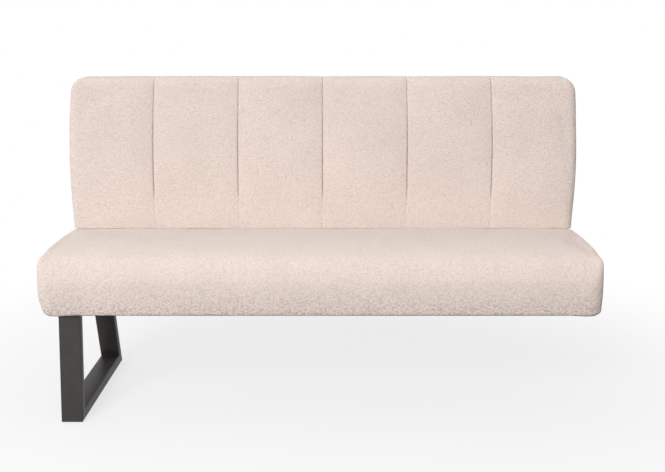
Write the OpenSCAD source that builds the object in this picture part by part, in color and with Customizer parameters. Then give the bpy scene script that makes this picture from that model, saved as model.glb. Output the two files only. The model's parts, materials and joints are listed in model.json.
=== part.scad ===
// Modular upholstered bench: a seat block, a channelled backrest, one steel side frame
// under the left end and a coupling plate under the right end, which the next module carries.
// Millimetres. X runs along the bench, Y to the rear, Z up from the floor.

/* [Overall] */
// Length of the seat, end to end
seat_w = 1560; // [1300:10:1800]
// Depth from the front of the seat to the rear of the backrest
depth = 626; // [610:2:680]
// Height of the top of the backrest
back_top = 938; // [880:2:1000]
// Height of the seat where it meets the backrest
seat_h = 466; // [455:1:485]
// Height of the underside of the seat
seat_under = 308; // [295:1:315]

/* [Seat form] */
// Rise of the seat's crown above its edges
seat_crown = 12; // [4:1:18]
// Rounding of the front edge of the seat top, as a share of the seat's thickness
seat_front_share = 0.443; // [0.32:0.001:0.48]
// Rounding of the end edges of the seat top
seat_end_r = 26; // [14:1:40]
// Rounding of the rear edge of the seat top
seat_rear_r = 12; // [8:1:13]
// Rounding of the lower edge of the seat at its front and ends
seat_low_r = 24; // [16:1:30]
// Rounding of the lower edge of the seat at its rear
seat_rear_low_r = 10; // [6:1:12]
// Rounding of the upright corners of the seat, in plan
seat_corner_r = 28; // [26:1:44]
// Width of the cover that is turned under the seat
seat_hem = 36; // [34:1:40]

/* [Backrest form] */
// Thickness of the backrest, measured level
back_t = 92; // [88:1:106]
// Lean of the backrest from upright, in degrees
back_lean = 7.25; // [4:0.25:10]
// How far each end of the backrest flares out past the seat
back_flare = 20; // [4:1:30]
// Rounding of the top corners of the backrest, seen from the front
back_end_r = 48; // [30:1:60]
// Rounding of the front edge of the top of the backrest
back_front_r = 34; // [24:1:44]
// Rounding of the rear edge of the top of the backrest
back_rear_r = 26; // [16:1:32]
// Rounding of the lower edge of the backrest
back_low_r = 8; // [5:1:10]
// Rounding of the upright corners of the backrest, in plan
back_corner_r = 26; // [18:1:32]
// Width of the cover that is turned under the backrest
back_hem = 18; // [16:0.5:22]
// Number of upright channels in the backrest
channels = 6; // [4:1:8]
// Depth of the sewn tucks between the channels
tuck_d = 18; // [6:1:20]
// Fullness of the backrest's front, part of the way up
back_belly = 8; // [0:1:12]

/* [Upholstery] */
// Thickness of the cover cloth with its backing
cover_t = 2; // [1.5:0.1:2.5]
// Thickness of the cloth that closes the undersides
dust_cloth_t = 0.8; // [0.5:0.1:1.2]
// Thickness of the felt over the springs
felt_t = 3; // [2:0.5:5]
// Thickness of the wadding behind the backrest board
wadding_t = 8; // [5:1:9]
// Thickness of the webbing straps in the backrest
strap_t = 1.5; // [1:0.1:2]
// Width of the webbing straps
strap_w = 50; // [40:1:60]
// Number of webbing straps
straps = 4; // [3:1:5]

/* [Timber frame] */
// Thickness of the seat boards
board_t = 25; // [20:1:28]
// Height of the seat rails, as a share of the seat's thickness
rail_share = 0.456; // [0.38:0.002:0.49]
// Thickness of the shelf under the backrest
shelf_t = 15; // [12:1:18]
// Width of the boards that take the leg frame and the coupling plate
mount_board_w = 90; // [84:1:110]
// Height of those boards, as a share of the rails' height
mount_board_share = 0.416; // [0.36:0.004:0.48]
// Leg of the triangular glue blocks in the seat corners
block_leg = 45; // [30:1:60]
// Height of those glue blocks, as a share of the rails' height
block_share = 0.55; // [0.34:0.01:0.56]
// Thickness of the upright boards of the backrest
back_board_t = 25; // [22:1:28]
// Width of the top rail and end stiles of the backrest
back_board_w = 60; // [45:1:70]
// Depth of the board at the foot of the backrest
back_foot_d = 60; // [50:1:66]
// Thickness of the board at the foot of the backrest
back_foot_t = 22; // [18:1:24]
// Thickness of the hardboard behind the backrest frame
hardboard_t = 3; // [2:0.5:4]

/* [Springs] */
// Number of zigzag springs
springs = 11; // [9:1:14]
// Thickness of the spring wire
wire_d = 3.6; // [3:0.1:4.2]
// Width of a zigzag spring
spring_w = 50; // [40:1:56]
// Distance from bar to bar in a zigzag spring, which gets the even number of bars next to it
bar_pitch = 37; // [32:1:42]

/* [Leg frame] */
// Distance from the end of the seat to the leg frame
leg_in = 57; // [50:1:70]
// Width of the leg frame's tube, along the bench
tube_w = 60; // [50:1:64]
// Thickness of the leg frame's tube, seen from the end of the bench
tube_t = 30; // [20:1:34]
// Wall of the leg frame's tube
tube_wall = 2; // [1.5:0.25:3]
// Distance from the front of the seat to the leg frame
leg_setback = 28; // [20:1:40]
// Length of the leg frame on the floor
leg_run = 590; // [560:2:620]
// Rake of the rear upright from vertical, in degrees
leg_rake = 26.5; // [20:0.5:30]
// Thickness of the plates under the seat
plate_t = 5; // [4:0.5:8]
// Height of the glides that the leg frame stands on
glide_h = 3; // [2:0.5:5]
// Radius of a glide's foot
glide_r = 11; // [8:0.5:13]

/* [Hardware] */
// Radius of the bolts
bolt_r = 4; // [3:0.5:5]
// Distance between the two columns of bolts in a plate
bolt_columns = 34; // [28:1:36]
// Distance between the two rows of bolts in the leg frame's plate
leg_bolt_rows = 290; // [240:5:300]
// Distance between the two rows of holes that take the next module
coupling_rows = 220; // [160:5:240]
// Thickness of the backrest brackets
bracket_t = 5; // [4:0.5:8]
// Width of the foot of a backrest bracket
bracket_foot_w = 58; // [50:1:60]
// Width of the arm of a backrest bracket
bracket_arm_w = 23; // [20:1:24]
// Length of a backrest bracket above the seat
bracket_rise = 230; // [180:5:260]

/* [Hidden] */

// Clearance between layers and boards that lie on each other
lay = 0.3;
// Overrun of cuts past the faces that they open
over = 1;
// Smallest corner radius of a padded form
least_r = 1;
// Segments of each quarter corner and of each run of a padded form
corner_steps = 2;
seat_steps = 10;
channel_steps = 3;

// Driving places in Y and Z
tan_lean = tan(back_lean);
cos_lean = cos(back_lean);
sin_lean = sin(back_lean);
back_z = seat_h + lay;
back_overhang = (back_top - back_rear_r * (1 - sin_lean) - back_z) * tan_lean
    - back_rear_r * (1 - cos_lean);
y_front = -depth / 2;
y_rear = depth / 2 - back_overhang;
y_back = y_rear - back_t;
seat_half = seat_w / 2;
seat_t = seat_h - seat_under;
seat_front_r = seat_t * seat_front_share;
rail_h = seat_t * rail_share;
mount_board_h = rail_h * mount_board_share;
block_h = rail_h * block_share;

// Seat frame
corner_share = 1 - cos(45);
end_in = cover_t + lay + seat_low_r + max(0, seat_corner_r - seat_low_r) * corner_share;
bracket_gap = 6;
rear_in = cover_t + lay + seat_rear_low_r;
frame_half = seat_half - end_in;
frame_z = seat_under + cover_t + lay;
rail_top = frame_z + rail_h;
front_rail_y = y_front + end_in;
rear_rail_y = y_rear - rear_in - board_t;
shelf_y = rear_rail_y - bracket_foot_w - 2 * bracket_gap;
spring_rail_y = shelf_y - board_t;
shelf_top = seat_h - cover_t - lay;
shelf_z = shelf_top - shelf_t;
cross_share = 0.55;
cross_step_z = frame_z + rail_h * cross_share;
cross_places = [-seat_w / 4, 0, seat_w / 4];

// Layers over the rails
clip_t = 1.2;
clip_d = 16;
clip_arch = wire_d + 2 * lay;
wire_z = rail_top + lay;
felt_z = rail_top + clip_arch + clip_t + lay;
foam_z = felt_z + felt_t + lay;

// Undersides
mount_board_z = seat_under;
dust_cloth_z = seat_under - lay - dust_cloth_t;
plate_z = dust_cloth_z - lay - plate_t;
mount_x = seat_half - leg_in - tube_w / 2;
mount_board_x = frame_half - board_t - lay - mount_board_w / 2;
mount_board_top = mount_board_z + mount_board_h;
hem_gap = 1;
slot_gap = 1;
mount_board_y0 = max(front_rail_y + board_t + lay, y_front + seat_hem + hem_gap);
mount_board_y1 = min(rear_rail_y - lay, y_rear - seat_hem - hem_gap);

// Leg frame
leg_y0 = y_front + leg_setback;
leg_y1 = leg_y0 + leg_run;
tan_rake = tan(leg_rake);
tube_level = tube_t / cos(leg_rake);
wall_level = tube_wall / cos(leg_rake);
leg_top_y = leg_y1 - (plate_z - glide_h) * tan_rake;
plate_lip = 4;
plate_end = 26;
bolt_mid_y = (leg_y0 + tube_t + leg_top_y - tube_level) / 2;

// Backrest frame, in the leaning frame whose Z runs up the backrest
back_rear = back_t * cos_lean;
wadding_y = back_rear - cover_t - lay - wadding_t;
hardboard_y = wadding_y - lay - hardboard_t;
back_frame_y = hardboard_y - lay - back_board_t;
strap_y = back_frame_y - lay - strap_t;
back_rear_hem = back_t - (back_frame_y + back_board_t) / cos_lean - slot_gap;
back_slope = (back_top - back_z) / cos_lean;
back_floor = cover_t + lay + dust_cloth_t + lay;
back_frame_z = (back_floor + back_rear * sin_lean) / cos_lean;
back_pad = 14;
back_frame_top = back_slope - back_rear_r - back_pad;
back_frame_half = seat_half - cover_t - back_low_r - back_pad;

// Hardware
bolt_fit = 0.25;
thread_fit = 0.1;
head_r = bolt_r * 1.85;
head_h = bolt_r * 1.3;
sunk_r = bolt_r * 2;
sunk_h = sunk_r - bolt_r;
nut_h = bolt_r * 1.6;
bolt_end = bolt_r * 0.5;
washer_r = bolt_r * 2.2;
washer_t = bolt_r * 0.4;
tee_flange_r = bolt_r * 2.5;
tee_flange_t = bolt_r * 0.4;
tee_barrel_r = bolt_r * 1.3;
tee_barrel_h = bolt_r * 2.4;
stem_r = bolt_r * 0.9;
stem_h = bolt_r * 2;
hex_sides = 6;
round_steps = 24;

// Padded forms

// A point of a rounded corner with the direction that it faces
function corner_point(x, y, r, a) = [x + r * cos(a), y + r * sin(a), cos(a), sin(a)];

// Places along a long run of a form, with one on every tuck
function run_places(half, cells, steps, pitch) = [
    for (c = [0 : cells - 1], s = [0 : steps - 1])
        let (a = c == 0 ? -half : (c - cells / 2) * pitch,
             b = c == cells - 1 ? half : (c + 1 - cells / 2) * pitch)
            a + (b - a) * s / steps
];

// One level outline: a rounded rectangle, from its right end and round by the rear
function outline(half, y0, y1, r, cells, steps, pitch) =
    let (quarter = [for (k = [0 : corner_steps - 1]) 90 * k / corner_steps],
         runs = run_places(half - r, cells, steps, pitch))
    concat(
        [for (a = quarter) corner_point(half - r, y1 - r, r, a)],
        [for (x = runs) [-x, y1, 0, 1]],
        [for (a = quarter) corner_point(r - half, y1 - r, r, 90 + a)],
        [[-half, y1 - r, -1, 0]],
        [for (a = quarter) corner_point(r - half, y0 + r, r, 180 + a)],
        [for (x = runs) [x, y0, 0, -1]],
        [for (a = quarter) corner_point(half - r, y0 + r, r, 270 + a)],
        [[half, y0 + r, 1, 0]]
    );

// Picks from [ends, front, rear] by the direction that a point faces
function by_side(v, p) = v[0] * p[2] * p[2] + (p[3] < 0 ? v[1] : v[2]) * p[3] * p[3];

// An outline drawn in by inset = [ends, front, rear], before it gets its height
function drawn_in(box, inset, corner, cells, steps, pitch) = outline(
    box[0] - inset[0], box[1] + inset[1], box[2] - inset[2],
    max(least_r, corner - max(inset[0], inset[1])), cells, steps, pitch);

// Rings of the lower edge, from the underside at 90 degrees to the wall at 0
function low_rings(box, z, low_r, corner, angles, cells, steps, pitch) = [
    for (a = angles)
        [for (p = drawn_in(box, low_r * (1 - cos(a)), corner, cells, steps, pitch))
            [p[0], p[1], z + by_side(low_r, p) * (1 - sin(a)), p[2], p[3]]]
];

// Rings of the wall between the two roundings, at shares of its height
function wall_rings(box, z, top, low_r, top_r, corner, shares, cells, steps, pitch) = [
    for (s = shares)
        [for (p = drawn_in(box, [0, 0, 0], corner, cells, steps, pitch))
            let (z0 = z + by_side(low_r, p), z1 = top(p[0], p[1]) - by_side(top_r, p))
                [p[0], p[1], z0 + (z1 - z0) * s, p[2], p[3]]]
];

// Rings of the upper edge, from the wall at 0 degrees to the top at 90
function top_rings(box, top, top_r, corner, angles, cells, steps, pitch) = [
    for (a = angles)
        [for (p = drawn_in(box, top_r * (1 - cos(a)), corner, cells, steps, pitch))
            [p[0], p[1], top(p[0], p[1]) - by_side(top_r, p) * (1 - sin(a)), p[2], p[3]]]
];

// Rings that close in over the top, at shares of the way to its middle
function crown_rings(box, top, top_r, corner, shares, cells, steps, pitch) =
    let (reach = (box[2] - top_r[2] - box[1] - top_r[1]) / 2) [
    for (s = shares)
        [for (p = drawn_in(box, top_r + reach * s * [1, 1, 1], corner, cells, steps, pitch))
            [p[0], p[1], top(p[0], p[1]), p[2], p[3]]]
];

// The ring at the inner edge of the cloth that is turned under
function hem_ring(box, z, hem, corner, cells, steps, pitch) = [
    for (p = drawn_in(box, hem, corner, cells, steps, pitch))
        [p[0], p[1], z, p[2], p[3]]
];

// Faces between rings, over their ends and between two first rings
function walls(n, first, rings) = [
    for (k = [0 : rings - 2], i = [0 : n - 1])
        let (a = first + k * n + i, d = first + k * n + (i + 1) % n)
            each [[a, a + n, d + n], [a, d + n, d]]
];
function cap(n, first) = [
    for (i = [0 : n / 2 - 2])
        let (a = first + i, b = first + n - 1 - i) each [[a + 1, a, b], [a + 1, b, b - 1]]
];
function strip(n, from, to) = [
    for (i = [0 : n - 1])
        let (j = (i + 1) % n) each [[from + i, to + i, to + j], [from + i, to + j, from + j]]
];
function turned(faces) = [for (f = faces) [f[2], f[1], f[0]]];
function points(rings) = [for (r = rings, p = r) [p[0], p[1], p[2]]];

// A shell of cloth that is open under its turned-in hem
module cloth_shell(outer, inner) {
    n = len(outer[0]);
    start = n * len(outer);
    polyhedron(concat(points(outer), points(inner)), concat(
        walls(n, 0, len(outer)), cap(n, start - n),
        turned(walls(n, start, len(inner))), turned(cap(n, start + n * (len(inner) - 1))),
        strip(n, start, 0)), convexity = 6);
}

// A closed block through a stack of rings
module block(rings) {
    n = len(rings[0]);
    polyhedron(points(rings), concat(
        walls(n, 0, len(rings)), cap(n, n * (len(rings) - 1)), turned(cap(n, 0))),
        convexity = 6);
}

// A closed band through rings that come back to the first one
module band(rings) {
    n = len(rings[0]);
    polyhedron(points(rings), concat(
        walls(n, 0, len(rings)), strip(n, n * (len(rings) - 1), 0)), convexity = 6);
}

// Seat forms

// Height of the seat's top: a crown in front of the backrest, flat under it and past flat_x
crown_edge = 6;
function seat_top(x, y, drop, flat_x) =
    let (ym = (y_front + y_back) / 2, yh = (y_back - y_front) / 2)
        seat_h - drop + seat_crown * max(0, 1 - pow((y - ym) / yh, 2))
            * (1 - pow(min(1, abs(x) / flat_x), crown_edge));

// Roundings of the seat as [ends, front, rear], drawn in by the cloth's thickness
function seat_top_r(t) = [seat_end_r - t, seat_front_r - t, seat_rear_r - t];
function seat_low_rs(t) = [seat_low_r - t, seat_low_r - t, seat_rear_low_r - t];
function seat_box(t) = [seat_half - t, y_front + t, y_rear - t];

// Angles and shares of the rings: fine outside, coarse inside
fine_low = [90, 45, 0];
fine_top = [0, 22, 45, 68, 90];
coarse_low = [90, 45, 0];
coarse_top = [0, 45, 90];
seat_wall_shares = [0.5];
crown_share_steps = [0, 0.3, 0.7];

// Rings of the seat's surface, t inside the outer face of its cover
function seat_rings(t, lows, tops) =
    let (box = seat_box(t), z = seat_under + t, c = seat_corner_r - t,
         lr = seat_low_rs(t), tr = seat_top_r(t),
         reach = (box[2] - tr[2] - box[1] - tr[1]) / 2,
         under_back = (box[2] - tr[2] - y_back) / reach,
         crown_shares = [for (s = crown_share_steps) under_back + (1 - under_back) * s],
         flat_x = box[0] - tr[0] - reach * under_back,
         top = function (x, y) seat_top(x, y, t, flat_x))
    concat(
        low_rings(box, z, lr, c, lows, 1, seat_steps, 0),
        wall_rings(box, z, top, lr, tr, c, seat_wall_shares, 1, seat_steps, 0),
        top_rings(box, top, tr, c, tops, 1, seat_steps, 0),
        crown_rings(box, top, tr, c, crown_shares, 1, seat_steps, 0)
    );
function seat_hem_ring(t) =
    hem_ring(seat_box(0), seat_under + t, seat_hem * [1, 1, 1], seat_corner_r, 1, seat_steps, 0);

module seat_cover() {
    color("#e6d6ca")
    difference() {
        cloth_shell(
            concat([seat_hem_ring(0)], seat_rings(0, fine_low, fine_top)),
            concat([seat_hem_ring(cover_t)], seat_rings(cover_t, coarse_low, coarse_top)));
        for (x = cross_places) bracket_slot(x, shelf_top - over, cover_t + lay + 2 * over);
    }
}

// The foam block, from the felt up to the cover and back to the shelf
module seat_foam() {
    reach = [seat_w, depth, seat_h];
    color("#f1e3b4")
    difference() {
        block(seat_rings(cover_t + lay, coarse_low, coarse_top));
        board([-reach[0], -reach[1], 0], [reach[0], reach[1], foam_z]);
        board([-reach[0], shelf_y - lay, 0], [reach[0], reach[1], 2 * reach[2]]);
    }
}

// Padding round the outside of the frame, under the foam block
module seat_border_padding() {
    t = cover_t + lay;
    box = seat_box(t);
    inner = function (z) [
        for (p = outline(frame_half + lay, front_rail_y - lay, y_rear - rear_in + lay,
                least_r, 1, seat_steps, 0))
            [p[0], p[1], z, p[2], p[3]]
    ];
    upper = [for (p = drawn_in(box, [0, 0, 0], seat_corner_r - t, 1, seat_steps, 0))
        [p[0], p[1], foam_z - lay, p[2], p[3]]];
    color("#f4efe4")
    band(concat(
        low_rings(box, frame_z, seat_low_rs(t), seat_corner_r - t, coarse_low, 1, seat_steps, 0),
        [upper, inner(foam_z - lay), inner(frame_z)]));
}

// A board that fills a box between two corners
module board(lo, hi) {
    translate(lo) cube(hi - lo);
}

// A shape drawn in Y and Z, carried along X
module along_x(x, w) {
    translate([x, 0, 0]) rotate([90, 0, 90]) linear_extrude(w) children();
}

module seat_front_rail() {
    color("#d9b98c")
    board([-frame_half, front_rail_y, frame_z],
        [frame_half, front_rail_y + board_t, rail_top]);
}

module seat_rear_rail() {
    color("#d9b98c")
    board([-frame_half, rear_rail_y, frame_z], [frame_half, rear_rail_y + board_t, rail_top]);
}

// The rail that the springs hook to, notched over the cross boards and mounting boards
module seat_spring_rail() {
    inner = frame_half - board_t - lay;
    color("#d9b98c")
    difference() {
        board([-inner, spring_rail_y, frame_z], [inner, spring_rail_y + board_t - lay, rail_top]);
        for (x = cross_places)
            board([x - board_t / 2 - lay, spring_rail_y - over, frame_z - over],
                [x + board_t / 2 + lay, spring_rail_y + board_t + over, cross_step_z + lay]);
        for (side = [-1, 1])
            translate([side * mount_board_x - mount_board_w / 2 - lay, spring_rail_y - over,
                    frame_z - over])
                cube([mount_board_w + 2 * lay, board_t + 2 * over,
                    mount_board_top + lay - frame_z + over]);
    }
}

// End boards stand as high as the rails and rise under the shelf at the rear
module seat_end_board(x) {
    color("#d9b98c")
    along_x(x, board_t) polygon([
        [front_rail_y + board_t + lay, frame_z], [rear_rail_y - lay, frame_z],
        [rear_rail_y - lay, rail_top + lay], [rear_rail_y + board_t, rail_top + lay],
        [rear_rail_y + board_t, shelf_z - lay], [shelf_y, shelf_z - lay],
        [shelf_y, rail_top], [front_rail_y + board_t + lay, rail_top]
    ]);
}

// Cross boards run low under the springs and rise under the shelf at the rear
module seat_cross_board(x) {
    color("#dcc39a")
    difference() {
        along_x(x - board_t / 2, board_t) polygon([
            [front_rail_y + board_t + lay, frame_z], [rear_rail_y - lay, frame_z],
            [rear_rail_y - lay, rail_top + lay], [rear_rail_y + board_t, rail_top + lay],
            [rear_rail_y + board_t, shelf_z - lay], [shelf_y, shelf_z - lay],
            [shelf_y, cross_step_z], [front_rail_y + board_t + lay, cross_step_z]
        ]);
        foot_bolts(x) translate([0, 0, -over])
            cylinder(r = bolt_r + bolt_fit, h = board_t + 2 * over, $fn = round_steps);
    }
}

// The shelf that the backrest stands on, slotted for the brackets
module seat_back_shelf() {
    color("#dcc39a")
    difference() {
        board([-frame_half, shelf_y, shelf_z], [frame_half, rear_rail_y + board_t, shelf_top]);
        for (x = cross_places) bracket_slot(x, shelf_z - over, shelf_t + 2 * over);
    }
}

// Boards that carry the plates under the seat's ends, bored for the tee nuts
module seat_mounting_board(side, rows) {
    x = side * mount_board_x;
    color("#d9b98c")
    difference() {
        board([x - mount_board_w / 2, mount_board_y0, mount_board_z],
            [x + mount_board_w / 2, mount_board_y1, mount_board_top]);
        for (r = rows) bolt_grid(side, r) translate([0, 0, mount_board_z - over])
            cylinder(r = tee_barrel_r + bolt_fit, h = mount_board_h + 2 * over, $fn = round_steps);
    }
}

// Triangular blocks glued into the corners of the seat frame
module seat_corner_blocks() {
    color("#cfa878")
    for (side = [-1, 1], end = [-1, 1]) {
        y = end < 0 ? front_rail_y + board_t + lay : shelf_y - board_t - lay;
        translate([side * (frame_half - board_t - lay), y, rail_top - lay - block_h])
            linear_extrude(block_h)
                polygon([[0, 0], [-side * block_leg, 0], [0, -end * block_leg]]);
    }
}

// Springs

// Where the springs run, between the rails that they hook to
spring_y0 = front_rail_y + board_t / 2;
spring_y1 = spring_rail_y + board_t / 2;
spring_span = 2 * frame_half - 2 * board_t - spring_w;
spring_pitch = spring_span / springs;
spring_places = [for (i = [0 : springs - 1]) (i - (springs - 1) / 2) * spring_pitch];
spring_bars = 2 * round(((spring_y1 - spring_y0) / bar_pitch + 1) / 2);
spring_step = (spring_y1 - spring_y0) / (spring_bars - 1);
bend_steps = 3;
clip_w = spring_w - spring_step - 2 * lay;

// One side of a zigzag: half rounds that join each bar to the next by turns
function bend(x, y, r, side) = [
    for (a = [0 : bend_steps])
        let (t = -90 + 180 * a / bend_steps) [x + side * r * cos(t), y + r * sin(t)]
];
function zigzag_edge(off) = [
    for (k = [0 : spring_bars - 2])
        let (side = k % 2 == 0 ? 1 : -1, r = spring_step / 2 + side * off)
            each bend(side * (spring_w - spring_step) / 2, spring_y0 + spring_step * (k + 1 / 2),
                r, side)
];

module zigzag() {
    half = wire_d / 2;
    tip = spring_w / 2 - spring_step / 2;
    last = spring_bars % 2 == 0 ? -1 : 1;
    polygon(concat(
        [[-tip, spring_y0 - half]], zigzag_edge(half),
        [[last * tip, spring_y1 + half], [last * tip, spring_y1 - half]],
        [for (i = [len(zigzag_edge(-half)) - 1 : -1 : 0]) zigzag_edge(-half)[i]],
        [[-tip, spring_y0 + half]]));
}

module seat_springs() {
    color("#9a9da0")
    for (x = spring_places) translate([x, 0, wire_z]) linear_extrude(wire_d) zigzag();
}

// Clips that hold each end bar down on its rail
module seat_spring_clips() {
    color("#b8bbbd")
    for (x = spring_places, y = [spring_y0, spring_y1])
        translate([0, y, rail_top]) along_x(x - clip_w / 2, clip_w) difference() {
            translate([-clip_d / 2, 0]) square([clip_d, clip_arch + clip_t]);
            translate([-clip_arch / 2, -over]) square([clip_arch, clip_arch + over]);
        }
}

module seat_spring_felt() {
    color("#8d8a86")
    board([-frame_half, front_rail_y, felt_z], [frame_half, shelf_y - lay, felt_z + felt_t]);
}

// Undersides

dust_lap = 8;
staple_l = 10;
staple_t = 0.6;
staples_long = 16;
staples_short = 6;

module seat_dust_cloth() {
    in = seat_hem - dust_lap;
    color("#2b2b2d")
    difference() {
        board([in - seat_half, y_front + in, dust_cloth_z],
            [seat_half - in, y_rear - in, dust_cloth_z + dust_cloth_t]);
        bolt_grid(-1, leg_bolt_rows) cloth_hole();
        bolt_grid(1, leg_bolt_rows) cloth_hole();
        bolt_grid(1, coupling_rows) cloth_hole();
    }
}

module cloth_hole() {
    translate([0, 0, dust_cloth_z - over])
        cylinder(r = tee_barrel_r + bolt_fit, h = dust_cloth_t + 2 * over, $fn = round_steps);
}

// The four bolts of a plate under one end of the seat
module bolt_grid(side, rows) {
    for (c = [-1, 1], r = [-1, 1])
        translate([side * mount_x + c * bolt_columns / 2, bolt_mid_y + r * rows / 2, 0]) children();
}

// Staples along the edges of the dust cloth, clear of the two plates
module seat_dust_cloth_staples() {
    in = seat_hem - dust_lap / 2;
    z = dust_cloth_z - staple_t;
    run = 2 * (mount_x - tube_w / 2) - 4 * staple_l;
    reach = y_rear - y_front - 2 * in - 4 * staple_l;
    mid = (y_front + y_rear) / 2;
    color("#c9ccce") {
        for (i = [0 : staples_long - 1], y = [y_front + in, y_rear - in])
            staple([-run / 2 + run * i / (staples_long - 1), y, z], [staple_l, staple_t]);
        for (i = [0 : staples_short - 1], x = [in - seat_half, seat_half - in])
            staple([x, mid - reach / 2 + reach * i / (staples_short - 1), z], [staple_t, staple_l]);
    }
}

module staple(place, size) {
    translate([place[0] - size[0] / 2, place[1] - size[1] / 2, place[2]])
        cube([size[0], size[1], staple_t]);
}

// Backrest forms

pitch = seat_w / channels;
tuck_edge = 2.5;
tuck_reach_share = 0.55;
tuck_foot_share = 0.25;
belly_place_share = 0.4;

// Roundings of the backrest as [ends, front, rear], drawn in by t
function back_top_rs(t) = [back_end_r - t, back_front_r - t, back_rear_r - t];
function back_low_rs(t) = (back_low_r - t) * [1, 1, 1];

// Half the length of the backrest at a share h of its height
function back_half(h) = seat_half + back_flare * (1 - pow(1 - min(1, max(0, h)), 2));

// How far a tuck draws in at x: all of it on a tuck, nothing midway between two
function tuck_share(x) =
    let (cell = x / pitch + channels / 2, near = abs(cell - round(cell)) * 2)
        abs(x) > (channels / 2 - 1 / 2) * pitch ? 0 : pow(1 - near, tuck_edge);

// Tucks are deepest in the upper part of the backrest and fade towards the seat
function tuck_fade(h) = tuck_foot_share
    + (1 - tuck_foot_share) * min(1, max(0, h / tuck_reach_share));

// Fullness of the front at a share h of its height
function belly(h) = h < belly_place_share
    ? sin(90 * max(0, h) / belly_place_share)
    : sin(90 * max(0, 1 - h) / (1 - belly_place_share));

// Gives rings that start t inside the front their belly, tucks, flare and lean
function back_shape(rings, t) = [
    for (r = rings)
        [for (p = r)
            let (h = (p[2] - back_z) / (back_top - back_z),
                 facing = p[4] < 0 ? p[4] * p[4] : 0,
                 near = max(0, 1 - (p[1] - y_back - t) / back_front_r),
                 push = back_belly * belly(h) - tuck_d * tuck_share(p[0]) * tuck_fade(h))
                [p[0] * back_half(h) / seat_half,
                    p[1] - facing * near * push + (p[2] - back_z) * tan_lean, p[2]]]
];

back_wall_shares = [0.15, 0.42, 0.75];
back_low_angles = [90, 0];
fine_back_tops = [0, 30, 60, 90];
back_crown_shares = [0.7];

// Rings of the backrest's surface, t inside the outer face of its cover
function back_rings(t, tops) =
    let (box = [seat_half - t, y_back + t, y_rear - t], z = back_z + t,
         low_r = back_low_rs(t), top_r = back_top_rs(t),
         c = back_corner_r - t, top = function (x, y) back_top - t)
    back_shape(concat(
        low_rings(box, z, low_r, c, back_low_angles, channels, channel_steps, pitch),
        wall_rings(box, z, top, low_r, top_r, c, back_wall_shares, channels, channel_steps, pitch),
        top_rings(box, top, top_r, c, tops, channels, channel_steps, pitch),
        crown_rings(box, top, top_r, c, back_crown_shares, channels, channel_steps, pitch)
    ), t);
function back_hem_ring(t) =
    back_shape([hem_ring([seat_half, y_back, y_rear], back_z + t,
        [back_hem, back_hem, back_rear_hem], back_corner_r, channels, channel_steps, pitch)], t);

module back_cover() {
    color("#e6d6ca")
    cloth_shell(
        concat(back_hem_ring(0), back_rings(0, fine_back_tops)),
        concat(back_hem_ring(cover_t), back_rings(cover_t, coarse_top)));
}

// Stands a shape in the leaning frame: Y to the rear, Z up the backrest
module leaning() {
    translate([0, y_back, back_z]) rotate([-back_lean, 0, 0]) children();
}

// The foam block in front of the webbing, cut round the foot board
module back_foam() {
    reach = 2 * back_t;
    color("#f1e3b4")
    difference() {
        block(back_rings(cover_t + lay, coarse_top));
        leaning() board([-seat_w, strap_y - lay, -reach], [seat_w, reach, back_top]);
        leaning() board([-back_frame_half - lay, foot_board_y - lay, -reach],
            [back_frame_half + lay, reach, back_frame_z + back_foot_t + lay]);
        board([-seat_w, y_back - reach, 0], [seat_w, y_back + reach, back_z + back_floor]);
    }
}

// A flat shape that follows the flare of the backrest, drawn in at its ends
module flared(low, high, in) {
    polygon(concat(
        [for (h = flare_shares) let (z = low + (high - low) * h)
            [back_half(z / back_slope) - in, z]],
        [for (i = [len(flare_shares) - 1 : -1 : 0]) let (z = low + (high - low) * flare_shares[i])
            [in - back_half(z / back_slope), z]]));
}
flare_shares = [0, 0.25, 0.5, 1];

// Carries a shape drawn in X and Z from y0 to y1 of the leaning frame
module panel(y0, y1) {
    leaning() translate([0, y1, 0]) rotate([90, 0, 0]) linear_extrude(y1 - y0) children();
}

// Padding round the ends and the top of the backrest frame
module back_border_padding() {
    low = back_frame_z + back_low_r;
    color("#f4efe4")
    panel(strap_y, wadding_y - lay) difference() {
        flared(low, back_frame_top + back_pad, cover_t + lay + back_corner_r * corner_share);
        translate([-back_frame_half - lay, low - over])
            square([2 * (back_frame_half + lay), back_frame_top + lay - low + over]);
    }
}

module back_wadding() {
    color("#f4efe4")
    panel(wadding_y, wadding_y + wadding_t)
        flared(back_frame_z + back_low_r, back_frame_top + back_pad / 2, back_corner_r + over);
}

module back_hardboard() {
    color("#b98f62")
    leaning() board([-back_frame_half, hardboard_y, back_frame_z + lay],
        [back_frame_half, hardboard_y + hardboard_t, back_frame_top]);
}

module back_webbing() {
    foot = back_frame_z + back_foot_t;
    room = (back_frame_top - foot - straps * strap_w) / (straps + 1);
    color("#3a3a3c")
    leaning() for (i = [0 : straps - 1])
        translate([-back_frame_half, strap_y, foot + room + i * (room + strap_w)])
            cube([2 * back_frame_half, strap_t, strap_w]);
}

module back_top_rail() {
    color("#d9b98c")
    leaning() board([-back_frame_half, back_frame_y, back_frame_top - back_board_w],
        [back_frame_half, back_frame_y + back_board_t, back_frame_top]);
}

foot_board_y = back_frame_y + back_board_t - back_foot_d;
stile_z0 = back_frame_z + back_foot_t + lay;
stile_z1 = back_frame_top - back_board_w - lay;

// The board that the backrest stands on, notched from its rear for the brackets
module back_foot_board() {
    color("#dcc39a")
    difference() {
        leaning() board([-back_frame_half, foot_board_y, back_frame_z + lay],
            [back_frame_half, foot_board_y + back_foot_d, back_frame_z + back_foot_t]);
        for (x = cross_places)
            arm_slot(x, 0, over, back_frame_z - over, back_foot_t + 2 * over);
    }
}

module back_stile(x0, x1) {
    color("#d9b98c")
    leaning() board([x0, back_frame_y, stile_z0], [x1, back_frame_y + back_board_t, stile_z1]);
}

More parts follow.
